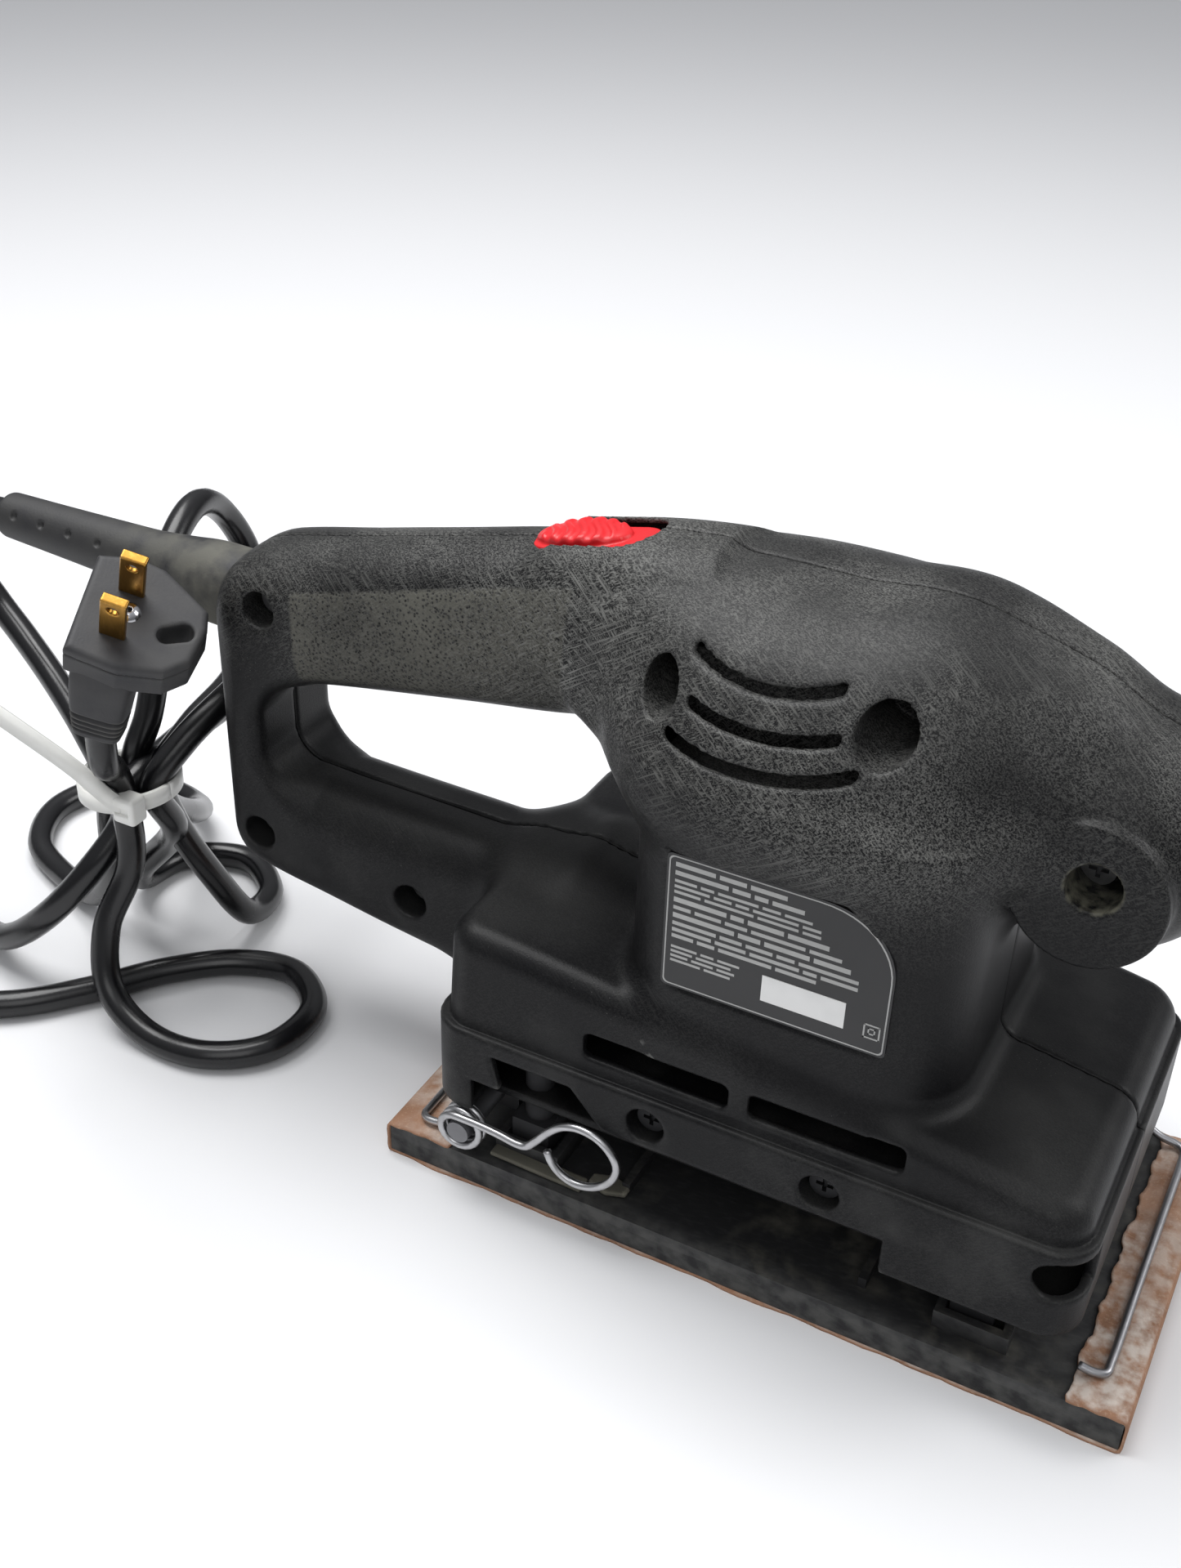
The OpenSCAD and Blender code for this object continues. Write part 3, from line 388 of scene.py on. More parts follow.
# ---------------------------------------------------------------- finishes
class Finish:
    """Principled material with noise-driven colour, roughness and relief in the object's own metres."""

    def __init__(self, name, colour, rough, metal=0.0, spec=0.5):
        self.m = bpy.data.materials.new(name)
        self.m.use_nodes = True
        self.t = self.m.node_tree
        self.b = self.t.nodes["Principled BSDF"]
        self.b.inputs["Base Color"].default_value = (*colour, 1)
        self.b.inputs["Roughness"].default_value = rough
        self.b.inputs["Metallic"].default_value = metal
        self.b.inputs["Specular IOR Level"].default_value = spec
        self.c, self.r, self.n = (*colour, 1), rough, None
        self.tc = self.t.nodes.new("ShaderNodeTexCoord")
        self.geo = self.t.nodes.new("ShaderNodeNewGeometry")
        self.xyz = self.t.nodes.new("ShaderNodeSeparateXYZ")
        self.t.links.new(self.tc.outputs["Object"], self.xyz.inputs[0])

    def put(self, socket, value):
        if isinstance(value, (int, float, tuple)):
            socket.default_value = value
        else:
            self.t.links.new(value, socket)

    def noise(self, scale, detail=2.0, stretch=None, turn=(0, 0, 0), kind="ShaderNodeTexNoise"):
        n = self.t.nodes.new(kind)
        n.inputs["Scale"].default_value = scale
        if "Detail" in n.inputs:
            n.inputs["Detail"].default_value = detail
        vec = self.tc.outputs["Object"]
        if stretch:
            mp = self.t.nodes.new("ShaderNodeMapping")
            mp.vector_type = "TEXTURE"
            mp.inputs["Rotation"].default_value = turn
            mp.inputs["Scale"].default_value = stretch
            self.t.links.new(vec, mp.inputs[0])
            vec = mp.outputs[0]
        self.t.links.new(vec, n.inputs["Vector"])
        return n.outputs["Distance"] if "Distance" in n.outputs else n.outputs[0]

    def fit(self, v, a, b, c=0.0, d=1.0):
        n = self.t.nodes.new("ShaderNodeMapRange")
        self.put(n.inputs[0], v)
        for k, q in zip((1, 2, 3, 4), (a, b, c, d)):
            n.inputs[k].default_value = q
        return n.outputs[0]

    def op(self, kind, a, b):
        n = self.t.nodes.new("ShaderNodeMath")
        n.operation = kind
        self.put(n.inputs[0], a)
        self.put(n.inputs[1], b)
        return n.outputs[0]

    def times(self, *vals):
        v = vals[0]
        for w in vals[1:]:
            v = self.op("MULTIPLY", v, w)
        return v

    def tint(self, fac, colour):
        n = self.t.nodes.new("ShaderNodeMix")
        n.data_type = "RGBA"
        self.put(n.inputs[0], fac)
        self.put(n.inputs[6], self.c)
        n.inputs[7].default_value = (*colour, 1)
        self.c = n.outputs[2]
        return self

    def dull(self, fac, value):
        n = self.t.nodes.new("ShaderNodeMix")
        self.put(n.inputs[0], fac)
        self.put(n.inputs[2], self.r)
        n.inputs[3].default_value = value
        self.r = n.outputs[0]
        return self

    def relief(self, height, mm, strength=1.0):
        n = self.t.nodes.new("ShaderNodeBump")
        n.inputs["Strength"].default_value = strength
        n.inputs["Distance"].default_value = mm * MM
        self.t.links.new(height, n.inputs["Height"])
        if self.n is not None:
            self.t.links.new(self.n, n.inputs["Normal"])
        self.n = n.outputs[0]
        return self

    def upward(self, a=0.35, b=0.9):
        s = self.t.nodes.new("ShaderNodeSeparateXYZ")
        self.t.links.new(self.geo.outputs["Normal"], s.inputs[0])
        return self.fit(s.outputs[2], a, b)

    def edges(self, a=0.53, b=0.62):
        return self.fit(self.geo.outputs["Pointiness"], a, b)

    def done(self):
        if not isinstance(self.c, tuple):
            self.t.links.new(self.c, self.b.inputs["Base Color"])
        if not isinstance(self.r, float):
            self.t.links.new(self.r, self.b.inputs["Roughness"])
        if self.n is not None:
            self.t.links.new(self.n, self.b.inputs["Normal"])
        return self.m


def band(f, axis, a, b, soft):
    """1 between two planes, with soft shoulders."""
    v = f.xyz.outputs[axis]
    return f.op("MULTIPLY", f.fit(v, (a - soft) * MM, a * MM), f.fit(v, (b + soft) * MM, b * MM))


def housing_finish():
    f = Finish("housing_plastic", (0.0038, 0.0038, 0.0046), 0.40, 0.0, 0.17)
    x, y, z = f.xyz.outputs
    # worn region: grip, shoulder and pommel, where the hands go
    worn = f.fit(z, 0.100, 0.135)
    cloud = f.fit(f.noise(26, 4), 0.40, 0.66)
    a = f.fit(f.noise(1, 1, (0.00034, 0.00034, 0.024), (0.35, 0.9, 0.2)), 0.48, 0.70)
    b = f.fit(f.noise(1, 1, (0.022, 0.00034, 0.00034), (0.1, 0.45, -0.5)), 0.49, 0.71)
    c = f.fit(f.noise(1, 1, (0.00028, 0.00028, 0.030), (0.6, -0.7, 0.1)), 0.54, 0.70)
    scuff = f.op("MAXIMUM", f.op("MAXIMUM", a, b), c)
    uneven = f.fit(cloud, 0, 1, 0.25, 1.0)
    held = f.fit(worn, 0, 1, 0.08, 0.92)
    f.tint(f.times(scuff, uneven, held), (0.185, 0.185, 0.175))
    # a faint film of dust in patches, thicker low down and on what faces up
    film = f.fit(f.noise(14, 6), 0.42, 0.75)
    f.tint(f.times(film, f.upward(0.1, 1.0), 0.30), (0.10, 0.10, 0.096))
    f.tint(f.times(f.fit(f.noise(60, 5), 0.5, 0.72), f.fit(z, 0.075, 0.028), 0.30), (0.085, 0.085, 0.082))
    # rubbed edges
    rub = f.times(f.edges(0.535, 0.62), f.fit(f.noise(160, 4), 0.36, 0.62))
    f.tint(f.times(rub, 0.72), (0.155, 0.155, 0.148))
    # small specks of dust
    spk = f.fit(f.noise(900, 0, kind="ShaderNodeTexVoronoi"), 0.10, 0.05)
    f.tint(f.times(spk, f.fit(f.noise(45, 3), 0.52, 0.68), 0.55), (0.20, 0.20, 0.19))
    # stippled panel on each side of the grip
    u = f.op("ADD", z, f.op("MULTIPLY", x, -0.27))
    pan = f.times(
        band(f, 0, -133.5, -59.5, 0.9), f.fit(u, 0.1335, 0.1345), f.fit(u, 0.1690, 0.1680),
        f.fit(f.op("ABSOLUTE", y, 0.0), 0.0125, 0.0145),
    )
    dots = f.fit(f.noise(1150, 0, kind="ShaderNodeTexVoronoi"), 0.15, 0.55)
    pale = f.times(
        pan, f.fit(f.noise(22, 4), 0.38, 0.62, 0.25, 1.0), f.fit(dots, 0.15, 0.8),
        f.fit(x, -0.060, -0.115, 0.35, 0.95), f.fit(u, 0.136, 0.156, 0.35, 1.0),
    )
    f.tint(pale, (0.135, 0.132, 0.112))
    f.dull(pan, 0.62)
    # pale rim of dust in the hole of the pommel
    across = f.op("POWER", f.op("SUBTRACT", x, 0.0608), 2.0)
    above = f.op("POWER", f.op("SUBTRACT", z, 0.124), 2.0)
    ring = f.op("POWER", f.op("ADD", across, above), 0.5)
    ring = f.times(f.fit(ring, 0.0062, 0.0056), f.fit(y, -0.0150, -0.0200), f.fit(f.noise(400, 4), 0.38, 0.6))
    f.tint(f.times(ring, 0.8), (0.16, 0.155, 0.12))
    f.dull(f.times(film, 0.5), 0.62)
    f.dull(f.times(scuff, worn, 0.5), 0.38)
    f.relief(f.noise(2300, 3), 0.09, 0.55)
    f.relief(f.times(pan, dots), 0.22, 0.8)
    f.relief(f.times(scuff, worn), 0.04, 0.35)
    return f.done()


def plain_finish(
    name, colour, rough, metal=0.0, grain=900, depth=0.04, wear=None, dust=0.0, blot=60, streak=None
):
    """Blotched colour with fine grain; wear is the colour of rubbed edges, dust lies on what faces up."""
    f = Finish(name, colour, rough, metal)
    blotch = f.fit(f.noise(blot, 5), 0.36, 0.68)
    dark = tuple(c * 0.72 for c in colour)
    f.tint(f.times(blotch, 0.55), dark)
    if streak:
        s = f.fit(f.noise(1, 4, streak, (0.2, 0.3, 0.1)), 0.5, 0.7)
        f.tint(f.times(s, 0.4), tuple(min(1, c * 1.5 + 0.02) for c in colour))
    if wear:
        f.tint(f.times(f.edges(), f.fit(f.noise(220, 4), 0.36, 0.62), 0.7), wear)
    if dust:
        fine, wide = f.fit(f.noise(190, 7), 0.44, 0.72), f.fit(f.noise(45, 3), 0.48, 0.62)
        f.tint(f.times(fine, wide, f.upward(), dust), (0.24, 0.225, 0.18))
        f.dull(f.times(f.upward(), dust), 0.9)
    f.dull(blotch, min(1.0, rough * 1.25 + 0.03))
    f.relief(f.noise(grain, 4), depth, 0.6)
    return f.done()


def rings_along_z(f, scale, distortion):
    w = f.t.nodes.new("ShaderNodeTexWave")
    w.wave_type, w.bands_direction = "BANDS", "Z"
    w.inputs["Scale"].default_value = scale
    w.inputs["Distortion"].default_value = distortion
    f.t.links.new(f.tc.outputs["Object"], w.inputs["Vector"])
    return w.outputs[1]


def wound_finish(name, colour):
    """Turns of enamelled wire."""
    f = Finish(name, colour, 0.32, 0.75)
    turns = rings_along_z(f, 620, 1.2)
    f.tint(f.fit(turns, 0.0, 0.35, 0.75, 0.0), tuple(c * 0.3 for c in colour))
    f.relief(turns, 0.2, 0.7)
    return f.done()


def stacked_finish(name, colour):
    """Edges of stacked sheets of steel, with a little rust."""
    f = Finish(name, colour, 0.42, 0.85)
    sheets = rings_along_z(f, 520, 0.0)
    f.tint(f.fit(sheets, 0.0, 0.3, 0.7, 0.0), tuple(c * 0.35 for c in colour))
    f.tint(f.times(f.fit(f.noise(90, 4), 0.5, 0.7), 0.4), (0.16, 0.09, 0.05))
    f.relief(sheets, 0.12, 0.6)
    return f.done()


def paper_finish():
    """Abrasive sheet: tan grit with darker blotches, clogged white on the flaps that face up."""
    f = Finish("abrasive_sheet", (0.36, 0.20, 0.125), 0.92, 0.0, 0.25)
    f.tint(f.fit(f.noise(140, 6), 0.40, 0.66, 0.0, 0.6), (0.22, 0.115, 0.07))
    f.tint(f.fit(f.noise(1300, 2), 0.55, 0.75, 0.0, 0.5), (0.52, 0.36, 0.25))
    fine, wide = f.fit(f.noise(260, 8), 0.36, 0.62), f.fit(f.noise(28, 2), 0.34, 0.60)
    f.tint(f.times(f.times(fine, wide, f.upward(0.6, 0.95)), 0.80), (0.70, 0.64, 0.58))
    f.relief(f.noise(1700, 3), 0.16, 0.9)
    f.relief(f.noise(120, 4), 0.5, 0.5)
    return f.done()


def dusty_rubber(name, colour, dusty, lo, hi):
    """Rubber with grey wear that grows between two stations along x."""
    f = Finish(name, colour, 0.55)
    w = f.fit(f.xyz.outputs[0], lo * MM, hi * MM, 0.10, 1.0)
    n = f.fit(f.noise(120, 6), 0.34, 0.60)
    f.tint(f.times(w, n, 0.85), dusty)
    f.tint(f.times(f.edges(), 0.5), (0.20, 0.195, 0.17))
    f.dull(f.times(w, n), 0.8)
    f.relief(f.noise(1500, 3), 0.08, 0.6)
    return f.done()


def nylon_finish():
    f = Finish("nylon_white", (0.80, 0.80, 0.77), 0.38)
    f.b.inputs["Subsurface Weight"].default_value = 0.25
    f.b.inputs["Subsurface Radius"].default_value = (0.002, 0.002, 0.002)
    f.tint(f.fit(f.noise(90, 4), 0.42, 0.70, 0.0, 0.45), (0.64, 0.64, 0.60))
    f.relief(f.noise(700, 2), 0.03, 0.5)
    return f.done()


FIN = {
    "housing": housing_finish(),
    # steel darkened far below bare steel: painted shade of the dark screw holes; the pale rubbed edges are
    # real wear
    "screw_steel": plain_finish("screw_steel", (0.17, 0.17, 0.175), 0.42, 0.9, 700, 0.03, (0.3, 0.3, 0.3)),
    # near-black screws: painted shade of the screw recesses, not the screws' own colour
    "painted_shade_screw": plain_finish("painted_shade_screw", (0.03, 0.03, 0.032), 0.5, 0.7),
    "label": plain_finish("label_film", (0.012, 0.012, 0.013), 0.30, 0, 500, 0.015),
    "sticker": plain_finish("sticker_paper", (0.80, 0.80, 0.79), 0.6, 0, 1500, 0.02),
    "red_plastic": plain_finish("red_plastic", (0.72, 0.012, 0.018), 0.34, 0, 1600, 0.03, (0.8, 0.12, 0.11)),
    "switch_case": plain_finish("switch_case", (0.03, 0.03, 0.032), 0.5),
    "lead_skin": plain_finish("lead_skin", (0.02, 0.02, 0.02), 0.45),
    "guard_rubber": dusty_rubber("guard_rubber", (0.015, 0.015, 0.017), (0.13, 0.127, 0.105), -205, -160),
    "cord_skin": plain_finish("cord_skin", (0.0045, 0.0045, 0.0055), 0.22, 0, 1400, 0.03, None, 0.0, 45),
    "clamp_plastic": plain_finish("clamp_plastic", (0.05, 0.05, 0.05), 0.55),
    "plug_rubber": dusty_rubber("plug_rubber", (0.018, 0.018, 0.021), (0.085, 0.084, 0.082), -230, -60),
    "brass": plain_finish(
        "brass", (0.38, 0.20, 0.04), 0.28, 1.0, 500, 0.03, (0.8, 0.6, 0.3), 0, 240, (0.0008, 0.0008, 0.012)
    ),
    "nylon_white": nylon_finish(),
    "lamination": stacked_finish("lamination", (0.30, 0.30, 0.32)),
    "enamel_copper": wound_finish("enamel_copper", (0.46, 0.17, 0.06)),
    "shaft_steel": plain_finish("shaft_steel", (0.58, 0.58, 0.60), 0.2, 1.0, 900, 0.01),
    "carbon": plain_finish("carbon", (0.03, 0.03, 0.033), 0.6),
    "bearing_steel": plain_finish("bearing_steel", (0.6, 0.6, 0.62), 0.16, 1.0, 900, 0.01),
    "sleeve_rubber": plain_finish("sleeve_rubber", (0.02, 0.02, 0.02), 0.7),
    "fan_plastic": plain_finish("fan_plastic", (0.06, 0.06, 0.065), 0.5, 0, 900, 0.04, None, 0.5),
    "baffle_plastic": plain_finish("baffle_plastic", (0.014, 0.014, 0.016), 0.42, 0, 900, 0.04, None, 0.25),
    "weight_zinc": plain_finish("weight_zinc", (0.26, 0.26, 0.27), 0.55, 0.8, 500, 0.1, (0.4, 0.4, 0.4), 0.3),
    "leg_rubber": plain_finish("leg_rubber", (0.022, 0.022, 0.024), 0.65, 0, 900, 0.05, None, 0.35),
    "platen_plastic": plain_finish(
        "platen_plastic", (0.016, 0.016, 0.017), 0.55, 0, 1100, 0.07, (0.08, 0.08, 0.075), 0.3, 60,
        (0.012, 0.0009, 0.0009),
    ),
    "pad_foam": plain_finish(
        "pad_foam", (0.022, 0.022, 0.023), 0.8, 0, 1900, 0.18, (0.09, 0.09, 0.085), 0.3, 90,
        (0.014, 0.001, 0.001),
    ),
    "abrasive": paper_finish(),
    "clamp_wire_bright": plain_finish(
        "clamp_wire_bright", (0.50, 0.50, 0.51), 0.28, 1.0, 500, 0.02, None, 0, 300
    ),
    "clamp_wire_grey": plain_finish(
        "clamp_wire_grey", (0.36, 0.36, 0.375), 0.36, 1.0, 500, 0.03, None, 0, 300
    ),
    "bracket_steel": plain_finish("bracket_steel", (0.22, 0.22, 0.23), 0.42, 0.9, 500, 0.05, None, 0.3),
}


# carried-over CAD nodes take the finish of their slot; the baffle's screws get a near-black finish that is
# painted shade of their recesses
for ob in nodes.values():
    slot_name = ob.data.materials[0].name.split(".")[0]
    ob.data.materials.clear()
    ob.data.materials.append(FIN["painted_shade_screw" if ob.name == "baffle_screws" else slot_name])

# the cord's route in millimetres: runs side by side through the tie, folds above and on the floor
ROUTE = [
    (-236.5, 0, 123), (-243.5, 0.2, 122.8), (-252.5, 1.4, 119.6), (-259, 3.6, 111), (-260, 5, 100),
    (-254, 5.4, 89), (-242, 2, 81), (-224, -6, 74), (-206, -15, 66), (-198.2, -18, 56), (-199, -18, 42),
    (-206, -13, 24), (-220, -7, 9), (-239, 0, 4.2), (-258, 10, 4), (-267, 28, 4), (-261, 46, 4),
    (-243, 54, 4), (-226, 48, 7), (-215, 34, 16), (-205, 14, 29), (-196, -4, 46), (-194.1, -10.9, 58),
    (-191, -7, 74), (-192, 0, 91), (-196, 9, 106), (-200, 20, 116), (-204, 35, 120), (-208, 50, 112),
    (-206, 58, 96), (-199, 52, 80), (-189, 28, 70), (-185, 2, 66), (-185.9, -10.9, 56), (-185.5, -8, 42),
    (-180, -1, 24), (-176, 8, 9), (-181, 25, 4.1), (-197, 35, 4), (-214, 27, 4.1), (-216, 10, 6),
    (-206, -1, 19), (-192, -4, 32), (-183, -11, 43), (-181.8, -18, 57), (-177, -10, 71), (-171, 6, 83),
    (-167, 25, 92), (-170, 43, 94), (-183, 56, 87), (-192, 51, 70), (-191, 30, 60), (-190, 2, 59),
    (-190, -18, 55), (-191, -22, 46), (-196, -31, 36), (-208, -38, 23), (-227, -37, 10), (-247, -31, 4.6),
    (-264, -36, 4), (-270, -51, 4), (-261, -65, 4), (-244, -67, 4), (-227, -62, 4), (-210, -53, 4),
    (-196, -38, 4), (-183, -21, 4.2), (-168, -8, 4.2), (-151, -4, 4.4), (-137, -15, 4.6),
    (-138, -33, 4.4), (-152, -44, 4), (-170, -45, 4.4), (-184, -42, 12), (-188, -36, 25), (-184, -28, 40),
    (-185.9, -25.5, 56), (-184.3, -29.5, 70), (-180.0, -36.4, 82), (-176.9, -39.5, 94.4),
    (-175.6, -40.0, 99.5),
]


# ---------------------------------------------------------------- pieces
def place(ob, slot_name, body, *stands_for):
    ob.data.materials.append(FIN[slot_name])
    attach(ob, body)
    if stands_for:
        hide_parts(*stands_for)
    return ob


def solid(name, fn, lo, hi, vox, axes=None, at=(0, 0, 0)):
    """Mesh of a distance form on its own fine grid, in mm; axes turn its local frame into the part's."""
    a = [np.arange(p - 2 * vox, q + 3 * vox, vox, dtype=np.float32) for p, q in zip(lo, hi)]
    d = fn(a[0][:, None, None], a[1][None, :, None], a[2][None, None, :])
    d = np.broadcast_to(d, tuple(len(v) for v in a))
    grid = openvdb.FloatGrid(3.0)
    grid.copyFromArray(np.ascontiguousarray(np.clip(d / vox, -3, 3), np.float32))
    p, q = grid.convertToQuads(isovalue=0.0)
    p = np.asarray(p, np.float64) * vox + np.array([v[0] for v in a])
    if axes is not None:
        p = p @ np.array(axes, float)
    return fast_mesh(name, (p + np.array(at, float)) * MM, np.asarray(q, np.int32))


def sweep(name, path, ring, up=None):
    """Closed tube: the ring (offsets across the path, mm) carried along it; up fixes its second axis."""
    p = np.array(path, float)
    t = np.gradient(p, axis=0)
    t /= np.linalg.norm(t, axis=1)[:, None]
    u = np.cross(t[0], (0.31, 0.2, 0.93) if up is None else up[0])
    u /= np.linalg.norm(u)
    k = len(ring[0]) if np.ndim(ring) == 3 else len(ring)
    pts = []
    for i in range(len(p)):
        if up is None:
            u = u - (u @ t[i]) * t[i]
        else:
            u = np.cross(t[i], up[i])
        u /= np.linalg.norm(u)
        v = np.cross(t[i], u)
        rr = ring[i] if np.ndim(ring) == 3 else ring
        pts += [p[i] + a * u + b * v for a, b in rr]
    faces = [
        (i * k + j, i * k + (j + 1) % k, (i + 1) * k + (j + 1) % k, (i + 1) * k + j)
        for i in range(len(p) - 1) for j in range(k)
    ]
    faces.append(tuple(range(k - 1, -1, -1)))
    faces.append(tuple((len(p) - 1) * k + j for j in range(k)))
    return mesh_object(name, np.array(pts) * MM, faces)


def round_ring(r, n):
    return [(r * math.cos(2 * math.pi * j / n), r * math.sin(2 * math.pi * j / n)) for j in range(n)]


def poly2(u, v, pts):
    """Signed distance to a polygon."""
    d = np.full(np.broadcast(u, v).shape, 1e9)
    s = np.ones_like(d)
    for i in range(len(pts)):
        ax, ay = pts[i]
        bx, by = pts[i - 1]
        ex, ey = bx - ax, by - ay
        wx, wy = u - ax, v - ay
        h = np.clip((wx * ex + wy * ey) / (ex * ex + ey * ey), 0, 1)
        d = np.minimum(d, (wx - ex * h) ** 2 + (wy - ey * h) ** 2)
        c1, c2, c3 = v >= ay, v < by, ex * wy > ey * wx
        s = np.where((c1 & c2 & c3) | (~c1 & ~c2 & ~c3), -s, s)
    return s * np.sqrt(d)


for side, name in ((-1, "housing_right"), (1, "housing_left")):
    p, q = housing_half(side)
    place(fast_mesh("shell_" + name.split("_")[1], p * MM, q), "housing", "housing", name)


# slide switch: oval thumb pad with slanted curved ridges on a flat slide
def slider_form(u, y, v):
    half_y = 6.7
    c = u + 4.2
    pad = np.hypot(c / 11.6, y / half_y) * half_y - half_y
    ridge = np.cos(2 * math.pi * (c + 1.6 * np.sin(y * 0.42) + 0.2 * y) / 3.6)
    ridge = 0.27 * np.clip(ridge * 1.6, -1, 1) * np.clip(9.4 - np.abs(c), 0, 1)
    top = v - (3.2 - 0.012 * c ** 2 - 0.016 * y * y + ridge)
    pad = round_max(np.maximum(pad, -2.5 - v), top, 0.9)
    plate = round_max(box2(u + 1.2, y, 15.2, half_y, 6), v - 0.35, 0.4)
    plate = np.maximum(plate, -2.5 - v)
    stem = np.maximum(box2(u, y, 4, 3, 1), np.abs(v + 5) - 4)
    return np.minimum(smooth_min(pad, plate, 0.6), stem)


SLIDE = (
    (math.cos(SWITCH_SLOPE), 0, math.sin(SWITCH_SLOPE)),
    (0, 1, 0),
    (-math.sin(SWITCH_SLOPE), 0, math.cos(SWITCH_SLOPE)),
)
place(
    solid("thumb_slide", slider_form, (-17, -7, -9.2), (15, 7, 4.4), 0.28, SLIDE, (-60.3, 0, 157.8)),
    "red_plastic", "switch", "switch_slider",
)


# cord guard: bulb at the handle, long taper, four holes near its end
def boot_form(x, y, z):
    r = plate_curve(x, [
        (-240, 5.9), (-237, 6.1), (-220, 6.7), (-200, 7.5), (-188, 8.1), (-178, 9.3), (-170, 10.4),
        (-163, 10.6), (-157, 10.6),
    ])
    cz = 120 + np.clip((-160 - x) / 78, 0, 1) * 3
    rho = np.hypot(y, z - cz)
    d = round_max(rho - r, np.maximum(-237.6 - x, x + 157.2), 1.3)
    for hx in (-231, -221.5, -212, -202):
        rr = 6.2 + (hx + 237) * 0.04
        d = np.maximum(d, 1.15 - np.sqrt((x - hx) ** 2 + (y + rr * 0.86) ** 2 + (z - cz - rr * 0.5) ** 2))
    return np.maximum(d, 3.95 - rho) * 0.98


guard = solid("cord_guard", boot_form, (-238.5, -11, 109), (-157, 11, 134), 0.42)
place(guard, "guard_rubber", "housing", "strain_relief")

# plug: flat moulded body lying face up on the hank, finger hole at one corner, ribbed neck
PW, PS, PN = (0.874, 0.375, -0.308), (-0.214, 0.868, 0.449), (0.436, -0.326, 0.839)
PLUG_AXES = (PW, PS, PN)
PO = np.array((-168.5, -34.0, 126.7))
FACE = [
    (-9.8, -14.6), (-11.6, 12.6), (-3, 15.4), (4.4, 14.6), (17.4, 7.4), (18.8, 2.6), (18.0, -7.6),
    (13.4, -12.6), (3, -15.4),
]


def plug_form(u, v, w):
    d = round_max(poly2(u, v, FACE) - 0.2, np.abs(w + 5.6) - 5.6, 1.5)
    hole = capsule(u, v, 0, (10.6, -2.6, 0), (14.2, -0.4, 0), 2.2, 2.4)
    d = round_max(d, -hole, 0.6)
    # shallow groove where the cover is welded on
    seam = np.maximum(np.abs(w + 3.2) - 0.28, -(poly2(u, v, FACE) + 0.4))
    return np.maximum(d, -seam)


def squarish_ring(half_u, half_v):
    """Ring between an ellipse and a box."""
    def bulge(c):
        return math.copysign(abs(c) ** 0.45, c)

    turns = [2 * math.pi * j / 28 for j in range(28)]
    return [(half_u * bulge(math.cos(a)), half_v * bulge(math.sin(a))) for a in turns]


plug = solid("plug_shell", plug_form, (-13, -17, -12), (20, 17, 1), 0.4, PLUG_AXES, PO)
place(plug, "plug_rubber", "housing", "plug_body")
low = PO + np.array(PLUG_AXES).T @ np.array((-1.0, -9.2, -9.2))
NECK = spline([(-176.8, -39.6, 95.2), (-175.2, -40.1, 100.5), (-173.2, -40.2, 108), low], 16)
rings = []
for i in range(len(NECK)):
    s = i / (len(NECK) - 1)
    hw = 6.0 + 1.8 * min(1, s * 1.3)
    hd = 4.7 + 0.7 * min(1, s * 1.3)
    # grooves of the ribbed part
    if 0.06 < s < 0.40 and (i % 4) in (1, 2):
        hw, hd = hw - 0.9, hd - 0.9
    rings.append(squarish_ring(hw, hd))
neck = sweep("plug_neck", NECK, rings, [np.array(PS)] * len(NECK))
place(neck, "plug_rubber", "housing")


def bar_form(u, v, w, half, at):
    """Box with broken edges."""
    edge = 0.25
    side = round_max(np.abs(u - at[0]) - half[0], np.abs(v - at[1]) - half[1], edge)
    return round_max(side, np.abs(w - at[2]) - half[2], edge)


def blade_form(u, v, w, at):
    """One blade with its hole and its folded tip."""
    blade = bar_form(u, v, w, (3.15, 0.75, 7.2), (-0.8, at, 7.0))
    blade = np.maximum(blade, 1.3 - np.hypot(u + 0.8, w - 11))
    lip = bar_form(u, v, w, (3.15, 1.3, 0.7), (-0.8, at + 0.6, 13.6))
    return np.minimum(blade, lip)


def blades_form(u, v, w):
    return np.minimum(blade_form(u, v, w, -7.2), blade_form(u, v, w, 5.5))


def rivet_form(u, v, w):
    dome = np.sqrt(u * u + v * v + (w + 2.2) ** 2) - 3.6
    return np.maximum(dome, 0.7 - np.hypot(u, v) + np.maximum(0, 0.4 - w))


prongs = solid("plug_prongs", blades_form, (-4.5, -9, -0.6), (3, 8, 17), 0.25, PLUG_AXES, PO)
place(prongs, "brass", "housing", "plug_blades")
rivet = solid(
    "plug_rivet", rivet_form, (-3.2, -3.2, -0.6), (3.2, 3.2, 1.8), 0.2, PLUG_AXES, PO + 0.6 * np.array(PW)
)
place(rivet, "bearing_steel", "housing")

CORD_RADIUS = 3.8


def lift(z):
    """Heights of the hank's runs, spread so that its waist is level with the tie."""
    return float(np.interp(z, (0, 14, 30, 57, 76, 95, 130), (0, 14, 33.5, 64.5, 80, 96, 130)))


